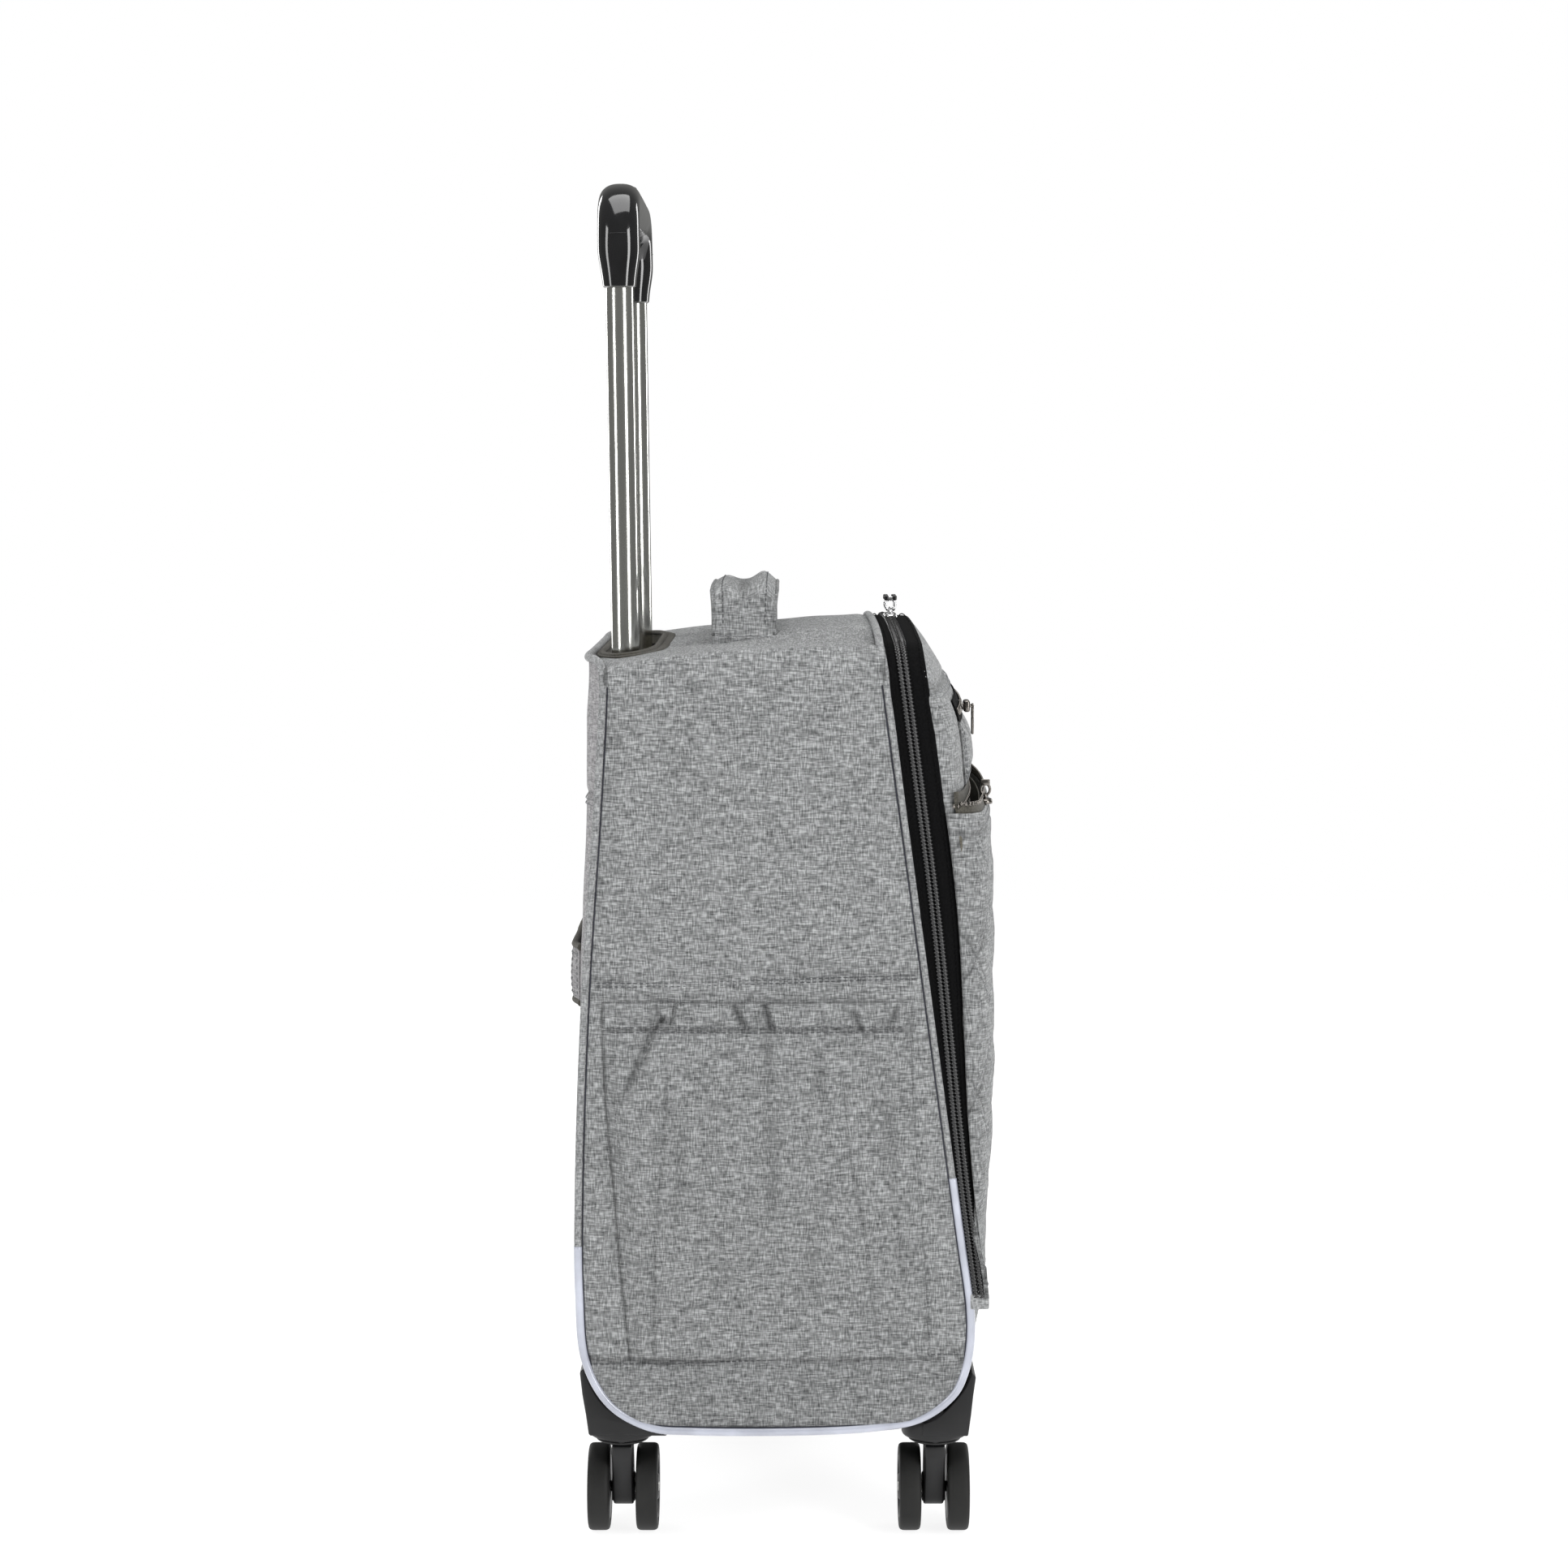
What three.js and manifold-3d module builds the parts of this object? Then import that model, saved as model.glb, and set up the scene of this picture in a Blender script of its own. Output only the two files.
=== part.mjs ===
// Softside upright suitcase on four twin-wheel casters, in millimetres, +Z up.
// X runs across the case, -Y is the front with the lid, +Y the back with the trolley handle.
// The origin is on the floor, under the middle of the case.
import * as THREE from 'three';
import * as BufferGeometryUtils from 'three/addons/utils/BufferGeometryUtils.js';
import Module from 'manifold-3d';

const wasm = await Module();
wasm.setup();

// ---- driving dimensions -------------------------------------------------------------------
const GAP = 0.4; // clearance kept between touching pieces
const SIDE_X = 170; // outer face of each side panel
const SKIN = 3; // thickness of a padded fabric wall
const PIPING_X = 167;
const PIPING_R = 2.3;
const WALL_X = 164; // where the back, base and sill meet the piping
const CORNER_X = 36; // width of the rounding from the flat of a wall to the piping

const TUBE_X = 90; // trolley tubes, either side of the middle
const TUBE_Y = 87.1; // where the tubes' axes meet the floor plane
const TUBE_LEAN = 0.0121; // backward lean of the tubes, in radians
const TUBE_WALL = 1;
const SLIDE_FIT = 0.3; // radial play between tube stages
const INNER_R = 8;
const MIDDLE_R = INNER_R + TUBE_WALL + SLIDE_FIT;
const OUTER_R = MIDDLE_R + TUBE_WALL + SLIDE_FIT;

const OUTER_Z = [90, 452];
const MIDDLE_Z = [96, 456];
const INNER_Z = [350, 734];
const GRIP_Z = [714, 773.5];

const CASTER_X = 138;
const REAR_CASTER_Y = 94.8;
const FRONT_CASTER_Y = -84.5;
const WHEEL_R = 25;
const WHEEL_W = 12.5;
const WHEEL_OFFSET = 13.5; // from the caster's middle to each wheel's middle, before its play
const WHEEL_PLAY = 0.4;
const TRAIL = 12;
const DRUM_Z = 59.3; // underside of the caster housings

const LID_BOTTOM = 147;
const LID_TOP = 521;
const LID_X = 168.5;
const WELL = { x: 109, y0: 76, y1: 106.4 }; // opening for the trolley grip in the top

// ---- materials ----------------------------------------------------------------------------
const makeMaterial = (color, roughness, metalness = 0) =>
  new THREE.MeshStandardMaterial({ color, roughness, metalness });
const MATERIAL = {
  fabric: makeMaterial(0x969a9b, 0.9),
  lining: makeMaterial(0x4b4a44, 0.85),
  piping: makeMaterial(0xb4b8c4, 0.4),
  tape: makeMaterial(0x151515, 0.8),
  chrome: makeMaterial(0xd8d8d8, 0.15, 1),
  gunmetal: makeMaterial(0x55524d, 0.3, 1),
  steel: makeMaterial(0xb9bab8, 0.2, 1),
  gloss: makeMaterial(0x0c0c0d, 0.15),
  plastic: makeMaterial(0x1a1a1b, 0.6),
  tyre: makeMaterial(0x1d1d1e, 0.8),
};

const suitcase = new THREE.Group();

function add(name, geometry, material, parent = suitcase) {
  const mesh = new THREE.Mesh(geometry, material);
  mesh.name = name;
  parent.add(mesh);
  return mesh;
}

// ---- geometry helpers ---------------------------------------------------------------------
const lerp = THREE.MathUtils.lerp;
const smooth = (value, low, high) => THREE.MathUtils.smoothstep(value, low, high);

// Turns a closed surface the right way out, whichever way its triangles were listed.
function closedSurface(positions, indices) {
  let volume = 0;
  const [a, b, c] = [new THREE.Vector3(), new THREE.Vector3(), new THREE.Vector3()];
  for (let i = 0; i < indices.length; i += 3) {
    a.fromArray(positions, indices[i] * 3);
    b.fromArray(positions, indices[i + 1] * 3);
    c.fromArray(positions, indices[i + 2] * 3);
    volume += a.dot(b.cross(c));
  }
  const geometry = new THREE.BufferGeometry();
  geometry.setAttribute('position', new THREE.Float32BufferAttribute(positions, 3));
  geometry.setIndex(volume < 0 ? indices.slice().reverse() : indices);
  return geometry;
}

// A wall between two surfaces, each a function of (u, v) in 0..1 that returns [x, y, z].
function slab(stepsU, stepsV, outer, inner) {
  const positions = [];
  const indices = [];
  const columns = stepsV + 1;
  const side = (stepsU + 1) * columns;
  for (const surface of [outer, inner]) {
    for (let i = 0; i <= stepsU; i += 1) {
      for (let j = 0; j <= stepsV; j += 1) positions.push(...surface(i / stepsU, j / stepsV));
    }
  }
  const at = (i, j, layer) => layer * side + i * columns + j;
  const quad = (p, q, r, s) => indices.push(p, q, r, p, r, s);
  for (let i = 0; i < stepsU; i += 1) {
    for (let j = 0; j < stepsV; j += 1) {
      quad(at(i, j, 0), at(i + 1, j, 0), at(i + 1, j + 1, 0), at(i, j + 1, 0));
      quad(at(i, j, 1), at(i, j + 1, 1), at(i + 1, j + 1, 1), at(i + 1, j, 1));
    }
  }
  for (let i = 0; i < stepsU; i += 1) {
    quad(at(i, 0, 0), at(i, 0, 1), at(i + 1, 0, 1), at(i + 1, 0, 0));
    quad(at(i, stepsV, 0), at(i + 1, stepsV, 0), at(i + 1, stepsV, 1), at(i, stepsV, 1));
  }
  for (let j = 0; j < stepsV; j += 1) {
    quad(at(0, j, 0), at(0, j + 1, 0), at(0, j + 1, 1), at(0, j, 1));
    quad(at(stepsU, j, 0), at(stepsU, j, 1), at(stepsU, j + 1, 1), at(stepsU, j + 1, 0));
  }
  return closedSurface(positions, indices);
}

// A flat outline of [a, b] points, given thickness along one axis.
function prism(outline, low, high, axis) {
  const shape = new THREE.Shape(outline.map(([a, b]) => new THREE.Vector2(a, b)));
  const geometry = new THREE.ExtrudeGeometry(shape, { depth: high - low, bevelEnabled: false });
  geometry.translate(0, 0, low);
  const [ex, ey, ez] = [new THREE.Vector3(1, 0, 0), new THREE.Vector3(0, 1, 0), new THREE.Vector3(0, 0, 1)];
  const basis = new THREE.Matrix4();
  if (axis === 'x') basis.makeBasis(ey, ez, ex);
  if (axis === 'y') basis.makeBasis(ex, ez, ey.clone().negate());
  geometry.applyMatrix4(basis);
  return geometry;
}

function box(x0, x1, y0, y1, z0, z1) {
  const geometry = new THREE.BoxGeometry(x1 - x0, y1 - y0, z1 - z0);
  return geometry.translate((x0 + x1) / 2, (y0 + y1) / 2, (z0 + z1) / 2);
}

function rodZ(radius, z0, z1, x = 0, y = 0, sides = 20) {
  const geometry = new THREE.CylinderGeometry(radius, radius, z1 - z0, sides);
  return geometry.rotateX(Math.PI / 2).translate(x, y, (z0 + z1) / 2);
}

function rodY(radius, y0, y1, x, z, sides = 16) {
  const geometry = new THREE.CylinderGeometry(radius, radius, y1 - y0, sides);
  return geometry.translate(x, (y0 + y1) / 2, z);
}

// A ring of [radius, z] points turned about Z; the profile closes on itself.
function turned(profile, sides = 20) {
  const points = [...profile, profile[0]].map(([r, z]) => new THREE.Vector2(r, z));
  const geometry = new THREE.LatheGeometry(points, sides);
  return geometry.rotateX(Math.PI / 2);
}

function solid(geometry) {
  const bare = geometry.clone();
  bare.deleteAttribute('normal');
  bare.deleteAttribute('uv');
  const merged = BufferGeometryUtils.mergeVertices(bare, 1e-4);
  const vertProperties = new Float32Array(merged.attributes.position.array);
  const triVerts = new Uint32Array(merged.index.array);
  return new wasm.Manifold(new wasm.Mesh({ numProp: 3, vertProperties, triVerts }));
}

function fromSolid(manifold) {
  const mesh = manifold.getMesh();
  const geometry = new THREE.BufferGeometry();
  geometry.setAttribute('position', new THREE.Float32BufferAttribute(mesh.vertProperties, 3));
  geometry.setIndex(Array.from(mesh.triVerts));
  return geometry;
}

const joined = (...pieces) => fromSolid(pieces.map(solid).reduce((sum, next) => sum.add(next)));
const cut = (body, ...tools) =>
  fromSolid(tools.map(solid).reduce((left, tool) => left.subtract(tool), solid(body)));

// A round cord through [x, y, z] points.
function cordThrough(points, radius, steps, sides = 8) {
  const path = new THREE.CatmullRomCurve3(points.map((p) => new THREE.Vector3(...p)), false, 'centripetal');
  const section = new THREE.Shape();
  for (let k = 0; k < sides; k += 1) {
    const angle = (2 * Math.PI * k) / sides;
    const [a, b] = [radius * Math.cos(angle), radius * Math.sin(angle)];
    if (k === 0) section.moveTo(a, b);
    else section.lineTo(a, b);
  }
  return new THREE.ExtrudeGeometry(section, { steps, extrudePath: path, bevelEnabled: false });
}

// ---- case outline -------------------------------------------------------------------------
// Two matching side outlines, [y, z], from the top of the back, round the base, to the lid's
// hinge line: one at the piping, one down the middle of the case where the walls stand fuller.
const EDGE_OUTLINE = [
  [101.4, 501.5], [105.9, 423], [112.9, 322], [117.2, 215], [117.4, 150], [113.7, 110],
  [100, 85.3], [78, 72.6], [55, 70.3], [-45.7, 72.1], [-76, 78], [-93.7, 91.4],
  [-99.5, 103], [-103, 120], [-102.9, 142.3],
];
const MIDDLE_OUTLINE = [
  [112.5, 501.5], [114, 423], [117.3, 322], [119, 215], [118.8, 150], [116.5, 112],
  [105, 84.5], [84, 71.5], [55, 69.8], [-60, 69.8], [-88, 74.5], [-102, 86],
  [-109, 100], [-115.5, 120], [-118.5, 142.3],
];
const LAST = EDGE_OUTLINE.length - 1;
const asCurve = (outline) =>
  new THREE.CatmullRomCurve3(outline.map(([y, z]) => new THREE.Vector3(0, y, z)), false, 'centripetal');
const edgeCurve = asCurve(EDGE_OUTLINE);
const middleCurve = asCurve(MIDDLE_OUTLINE);

// How far a wall stands out at x, from 0 at the piping to 1 at its fullest. The back and base are
// flat between rounded corners; the front bows all the way across.
const FRONT_FROM = 9; // outline place where the base starts to turn up into the bowed front
const BOW_POWER = 2.2;
const fullness = (x) => smooth(WALL_X - Math.abs(x), 0, CORNER_X);
function fullnessAt(x, k) {
  const bowed = 1 - Math.min(1, Math.abs(x) / WALL_X) ** BOW_POWER;
  return lerp(fullness(x), bowed, smooth(k, FRONT_FROM, FRONT_FROM + 2));
}

// A point of the case wall at outline place k (a point's number), x across, set in by depth.
function wallPoint(x, k, depth) {
  const share = fullnessAt(x, k);
  const t = THREE.MathUtils.clamp(k / LAST, 0, 1);
  const at = edgeCurve.getPoint(t).lerp(middleCurve.getPoint(t), share);
  const along = edgeCurve.getTangent(t).lerp(middleCurve.getTangent(t), share).normalize();
  return [x, at.y + along.z * depth, at.z - along.y * depth];
}

// Rows of x that crowd towards the rounded corners of a wall.
function acrossWall(u) {
  const s = 2 * u - 1;
  return WALL_X * Math.sign(s) * (1 - (1 - Math.abs(s)) ** 1.6);
}

function caseWall(from, to, stepsU, stepsV) {
  const surface = (depth) => (u, v) => {
    const x = acrossWall(u);
    return wallPoint(x, lerp(from(x), to, v), depth);
  };
  return slab(stepsU, stepsV, surface(0), surface(SKIN));
}

// The back's top edge dips at its corners, where the piping turns over the top.
const backFrom = (x) => lerp(0.24, 0.03, fullness(x));
const BASE_FROM = 4.6;
const BASE_TO = 11;
add('back_panel', caseWall(backFrom, BASE_FROM - 0.03, 12, 5), MATERIAL.fabric);
add('base_tray', caseWall(() => BASE_FROM, BASE_TO - 0.04, 10, 12), MATERIAL.plastic);
add('front_sill', caseWall(() => BASE_TO, LAST, 10, 3), MATERIAL.fabric);

// Front edge of the side panel, a straight lean from the sill to the top corner.
const FRONT_EDGE = { low: [-102.9, 142], high: [-51.3, 517.6] };
function frontEdgeY(z) {
  const [[y0, z0], [y1, z1]] = [FRONT_EDGE.low, FRONT_EDGE.high];
  return lerp(y0, y1, (z - z0) / (z1 - z0));
}

// The top wall: [y, z] at the sides and down the middle.
const TOP_EDGE = [[98.5, 504.6], [60, 509.2], [5, 513], [-48, 514.6]];
const TOP_MIDDLE = [[109.4, 505.3], [60, 509.5], [5, 518.5], [-48, 523]];
const topEdgeCurve = asCurve(TOP_EDGE);
const topMiddleCurve = asCurve(TOP_MIDDLE);
function topPoint(x, v, depth) {
  const share = smooth(SIDE_X - Math.abs(x), 0, 110);
  const at = topEdgeCurve.getPoint(v).lerp(topMiddleCurve.getPoint(v), share);
  return [x, at.y, at.z - depth];
}
const topAcross = (u) => lerp(-166, 166, u);
const topWall = slab(
  12, 5,
  (u, v) => topPoint(topAcross(u), v, 0),
  (u, v) => topPoint(topAcross(u), v, SKIN),
);
const wellCentreY = (WELL.y0 + WELL.y1) / 2;
const wellRound = (WELL.y1 - WELL.y0) / 2;
function stadium(halfLength, radius, centreY, z0, z1) {
  const shape = new THREE.Shape();
  shape.absarc(halfLength - radius, centreY, radius, -Math.PI / 2, Math.PI / 2, false);
  shape.absarc(-halfLength + radius, centreY, radius, Math.PI / 2, (3 * Math.PI) / 2, false);
  const options = { depth: z1 - z0, bevelEnabled: false, curveSegments: 8 };
  return new THREE.ExtrudeGeometry(shape, options).translate(0, 0, z0);
}
add('top_panel', cut(topWall, stadium(WELL.x, wellRound, wellCentreY, 480, 540)), MATERIAL.fabric);

// Side panels: the piping's outline closed across the top, set in to leave room for the piping.
function sidePanelOutline() {
  const inset = PIPING_R + 1.1;
  const points = [];
  const steps = 34;
  for (let i = 0; i <= steps; i += 1) {
    const t = i / steps;
    const at = edgeCurve.getPoint(t);
    const along = edgeCurve.getTangent(t);
    points.push([at.y + along.z * inset, at.z - along.y * inset]);
  }
  points.push([frontEdgeY(500) + inset, 500], [frontEdgeY(512) + inset, 512]);
  for (const [y, z] of [...TOP_EDGE].reverse()) points.push([Math.min(y, 94), z - 0.5]);
  return points;
}
const sideOutline = sidePanelOutline();
add('left_side_panel', prism(sideOutline, -SIDE_X, -SIDE_X + SKIN, 'x'), MATERIAL.fabric);
add('right_side_panel', prism(sideOutline, SIDE_X - SKIN, SIDE_X, 'x'), MATERIAL.fabric);

// Piping: over the top front edge, down the front, round the base, up the back, over the top.
function pipingPath(side) {
  const points = [
    [0.3, -51, 521.6], [80, -51, 520.4], [140, -51, 516.6], [158, -51.3, 512.5], [166, -53.6, 502],
    [PIPING_X, frontEdgeY(485), 485],
  ];
  for (const z of [400, 320, 240, 180]) points.push([PIPING_X, frontEdgeY(z), z]);
  for (let k = LAST; k >= 0; k -= 1) {
    const [y, z] = EDGE_OUTLINE[k];
    if (z < 480) points.push([PIPING_X, y, z]);
  }
  points.push([PIPING_X, 102.6, 480], [166, 102.2, 494], [160, 103.6, 503], [148, 107, 505.8]);
  points.push([125, 112.4, 505.6], [60, 113, 505.3], [0.3, 113, 505.3]);
  return points.map(([x, y, z]) => [x * side, y, z]);
}
add('left_piping', cordThrough(pipingPath(-1), PIPING_R, 76, 6), MATERIAL.piping);
add('right_piping', cordThrough(pipingPath(1), PIPING_R, 76, 6), MATERIAL.piping);

// ---- main zipper tapes and lid shell ------------------------------------------------------
// Width of each tape beside the coil: narrow at the sill, wider towards the top.
const widen = (z, low, high) => lerp(low, high, smooth(z, 190, 400));
const coilY = (z) => frontEdgeY(z) - widen(z, 5.8, 10.5);
const rimY = (z) => coilY(z) - widen(z, 3.2, 11.5);

// The opening's rim seen from the front, [x, z], from the left foot to the right foot.
const RIM_SIDE_TOP = 494;
const RIM_CORNER = 22;
function rimPoint(u) {
  const s = 2 * u - 1;
  const reach = Math.abs(s);
  const sideShare = 0.55;
  const cornerShare = 0.2;
  let x = LID_X;
  let z = RIM_SIDE_TOP;
  if (reach > 1 - sideShare) {
    z = lerp(RIM_SIDE_TOP, LID_BOTTOM + 1, (reach - 1 + sideShare) / sideShare);
  } else if (reach > 1 - sideShare - cornerShare) {
    const angle = ((reach - 1 + sideShare + cornerShare) / cornerShare) * (Math.PI / 2);
    x = LID_X - RIM_CORNER + RIM_CORNER * Math.sin(angle);
    z = RIM_SIDE_TOP + RIM_CORNER * Math.cos(angle);
  } else {
    const share = reach / (1 - sideShare - cornerShare);
    x = (LID_X - RIM_CORNER) * share;
    z = RIM_SIDE_TOP + RIM_CORNER + 6 * (1 - share * share);
  }
  return [Math.sign(s) * x, z];
}
const TAPE = 1.4;
function tape(nearY, farY) {
  const surface = (depth) => (u, v) => {
    const [x, z] = rimPoint(u);
    const shrink = depth / LID_X;
    const drop = depth * smooth(z, RIM_SIDE_TOP, RIM_SIDE_TOP + RIM_CORNER);
    return [x * (1 - shrink), lerp(nearY(z), farY(z), v), z - drop];
  };
  return slab(36, 1, surface(0), surface(TAPE));
}
add('case_zipper_tape', tape((z) => frontEdgeY(z) - PIPING_R - 0.8, (z) => coilY(z) + 0.3), MATERIAL.tape);
add('lid_zipper_tape', tape((z) => coilY(z) - 0.3, (z) => rimY(z) + 0.3), MATERIAL.tape);

// Front face of the lid down its middle, [z, y], and of the quilted pocket on it.
const LID_FACE = [
  [LID_BOTTOM, -116.8], [175, -115.5], [220, -114], [300, -113], [400, -109.5], [440, -106],
  [470, -102.5], [487, -96], [501, -88.5], [512, -80.5], [LID_TOP - 1, -73.5],
];
const POCKET_FACE = [
  [LID_BOTTOM + 1, -119], [164, -121], [205, -124], [275, -126], [340, -124.6],
  [400, -123.2], [422, -120.2],
];
function along(table, z) {
  const curve = new THREE.SplineCurve(table.map(([zz, yy]) => new THREE.Vector2(zz, yy)));
  let [low, high] = [0, 1];
  for (let i = 0; i < 24; i += 1) {
    const middle = (low + high) / 2;
    if (curve.getPoint(middle).x < z) low = middle;
    else high = middle;
  }
  return curve.getPoint(low).y;
}

// The lid's front is bowed: it falls back towards the sides, by a share of its depth at most.
const BOW = 9.6;
const BOW_X = 155;
const bow = (x, depth) => Math.min(BOW, 0.75 * depth) * (x / BOW_X) ** 2;

// A shell section at height z: from the rim at one side, round the front, to the other side.
const SQUARENESS = 9; // 2 would be an ellipse; larger is closer to a box
function shellSection(u, halfWidth, rim, face) {
  const angle = lerp(Math.PI, 0, u);
  const power = 2 / SQUARENESS;
  const x = halfWidth * Math.sign(Math.cos(angle)) * Math.abs(Math.cos(angle)) ** power;
  const front = Math.min(rim, face + bow(x, rim - face));
  const y = lerp(rim, front, Math.sin(angle) ** power);
  return [u === 0.5 ? 0 : x, y];
}
const lidFaceAt = (x, z) => along(LID_FACE, z) + bow(x, rimY(z) - along(LID_FACE, z));
// The sine and cosine crowd points at the corners; ease spreads them towards the rim and face.
const ease = (u) => u + 0.06 * Math.sin(4 * Math.PI * u);
const lidHalfWidth = (z) => {
  const rise = THREE.MathUtils.clamp((z - RIM_SIDE_TOP) / (LID_TOP - RIM_SIDE_TOP + 1), 0, 1);
  return LID_X - RIM_CORNER * 1.6 * (1 - Math.sqrt(1 - rise * rise));
};
function lidPoint(u, z, depth) {
  const half = lidHalfWidth(z) - depth;
  const [x, y] = shellSection(ease(u), half, rimY(z), along(LID_FACE, z) + depth);
  return [x, Math.min(y, rimY(z)), z];
}
const lidHeight = (v, top) => lerp(LID_BOTTOM, top, v);
add('lid_shell', slab(
  16, 10,
  (u, v) => lidPoint(u, lidHeight(v ** 0.8, LID_TOP - 1), 0),
  (u, v) => lidPoint(u, lidHeight(v ** 0.8, LID_TOP - 4), SKIN),
), MATERIAL.fabric);

// Quilted lower pocket: stands off the lid's face, open along its top.
const POCKET_TOP = 422;
const POCKET_X = LID_X + 2.6;
const POCKET_WALL = 2.1;
const pocketFace = (z) => along(POCKET_FACE, z);
function pocketPoint(u, v, depth) {
  const z = lerp(LID_BOTTOM + 1, POCKET_TOP, v);
  const lidFront = along(LID_FACE, z);
  const outer = Math.min(pocketFace(z), lidFront - 2.6);
  const rim = rimY(z) - 1.5;
  const [x, y] = shellSection(ease(u), POCKET_X - depth, rim, outer + depth);
  return [x, y, z];
}
add('lower_pocket', slab(
  16, 6,
  (u, v) => pocketPoint(lerp(0.02, 0.98, u), v, 0),
  (u, v) => pocketPoint(lerp(0.02, 0.98, u), v, POCKET_WALL),
), MATERIAL.fabric);

// Upper pocket: a flat zipped pouch above the quilted one.
const UPPER_POCKET = { x: 128, z0: 433, z1: 471 };
function upperPocketPoint(u, v, proud) {
  const x = lerp(-UPPER_POCKET.x, UPPER_POCKET.x, u);
  const z = lerp(UPPER_POCKET.z0, UPPER_POCKET.z1, v);
  return [x, lidFaceAt(x, z) - proud, z];
}
const pouchBulge = (u, v) => 2 + 3.2 * Math.min(1, 5 * Math.sin(Math.PI * u)) * Math.sin(Math.PI * v);
add('upper_pocket', slab(
  10, 4,
  (u, v) => upperPocketPoint(u, v, pouchBulge(u, v)),
  (u, v) => upperPocketPoint(u, v, 0.6),
), MATERIAL.fabric);

// Mesh divider that closes the back of the lid, lying in the plane of the opening.
const DIVIDER = { x: 160, z0: 156, z1: 494, behindRim: 0.3, thickness: 1 };
function dividerPoint(u, v, depth) {
  const z = lerp(DIVIDER.z0, DIVIDER.z1, v);
  return [lerp(-DIVIDER.x, DIVIDER.x, u), rimY(z) + DIVIDER.behindRim + depth, z];
}
add('lid_mesh_divider', slab(
  1, 6,
  (u, v) => dividerPoint(u, v, 0),
  (u, v) => dividerPoint(u, v, DIVIDER.thickness),
), MATERIAL.lining);

// ---- soft pieces on the case --------------------------------------------------------------
// Side pockets: gusseted pouches, open along their elastic tops.
const SIDE_POCKET = { z0: 112.5, z1: 316, depth: 9.4, wall: 2 };
const sidePocketBack = (z) => lerp(85, 100, smooth(z, 112, 300));
const sidePocketFront = (z) => lerp(-79, -69, smooth(z, 112, 300));
function sidePocket(side) {
  const { z0, z1, depth, wall } = SIDE_POCKET;
  const outlineAt = (inset) => {
    const heights = [z0 + inset, z0 + 70, z0 + 140, z1];
    const front = heights.map((z) => [sidePocketFront(z) + inset, z]);
    const back = heights.map((z) => [sidePocketBack(z) - inset, z]).reverse();
    return [...front, ...back];
  };
  const near = SIDE_X + GAP;
  const far = SIDE_X + GAP + depth;
  const block = prism(outlineAt(0), near, far, 'x');
  const hollow = prism(
    outlineAt(wall).map(([y, z]) => [y, z === z1 ? z + 5 : z]),
    near - 1, far - wall, 'x',
  );
  const pouch = cut(block, hollow);
  if (side > 0) return pouch;
  return fromSolid(solid(pouch).mirror([1, 0, 0]));
}
add('left_side_pocket', sidePocket(-1), MATERIAL.fabric);
add('right_side_pocket', sidePocket(1), MATERIAL.fabric);

// A band of webbing or rolled fabric along an [x, z] path, flat across a range of y.
function bandAcross(path, y0, y1, thickness, steps) {
  const curve = new THREE.CatmullRomCurve3(path.map(([x, z]) => new THREE.Vector3(x, 0, z)));
  const surface = (offset) => (u, v) => {
    const at = curve.getPointAt(u);
    const tangent = curve.getTangentAt(u);
    return [at.x - tangent.z * offset, lerp(y0, y1, v), at.z + tangent.x * offset];
  };
  return slab(steps, 2, surface(thickness), surface(0));
}
const HANDLE_Y = [6.3, 43.7];
add('carry_handle', bandAcross([
  [-93, 519.4], [-88, 526], [-85.5, 533], [-78, 541], [-55, 543.6], [0, 544.2],
  [55, 543.6], [78, 541], [85.5, 533], [88, 526], [93, 519.4],
], HANDLE_Y[0], HANDLE_Y[1], 4.6, 20), MATERIAL.fabric);

// A strap across the back between z0 and z1, bowed out from the panel by its slack.
function backStrap(halfLength, z0, z1, slack) {
  const panelY = Math.max(wallPoint(0, 2, 0)[1], wallPoint(0, 2.5, 0)[1]) + 0.9;
  const surface = (depth) => (u, v) => {
    const s = Math.min(1, 4 * Math.sin(Math.PI * u));
    return [lerp(-halfLength, halfLength, u), panelY + slack * smooth(s, 0, 1) + depth, lerp(z0, z1, v)];
  };
  return slab(14, 1, surface(2), surface(0));
}
add('trolley_sleeve_strap', backStrap(112, 306, 338, 4.2), MATERIAL.fabric);
add('rear_grab_handle', backStrap(95, 154, 198, 4.2), MATERIAL.fabric);

// ---- inside the case ----------------------------------------------------------------------
const COVER_Y = 66;
add('tube_cover', box(-162, 162, COVER_Y, COVER_Y + 2.4, 76, 498), MATERIAL.lining);
const STRAP_Z = 300;
const strapBox = (x0, x1) => box(x0, x1, COVER_Y - 2, COVER_Y - GAP, STRAP_Z - 12, STRAP_Z + 12);
add('left_tie_strap', strapBox(-158, -24.4), MATERIAL.tape);
add('right_tie_strap', strapBox(24.4, 158), MATERIAL.tape);
add('tie_strap_buckle', joined(
  box(-24, 24, COVER_Y - 7, COVER_Y - GAP, STRAP_Z - 16, STRAP_Z + 16),
  box(-16, 16, COVER_Y - 9, COVER_Y - 6.5, STRAP_Z - 10, STRAP_Z + 10),
), MATERIAL.plastic);

// ---- trolley handle -----------------------------------------------------------------------
// The tubes stand in a group that leans back a little; inside it x, y = 0 is between the tubes.
const handle = new THREE.Group();
handle.position.set(0, TUBE_Y, 0);
handle.rotation.x = -TUBE_LEAN;
suitcase.add(handle);
const tubeY = (z) => TUBE_Y + TUBE_LEAN * z;

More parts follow.
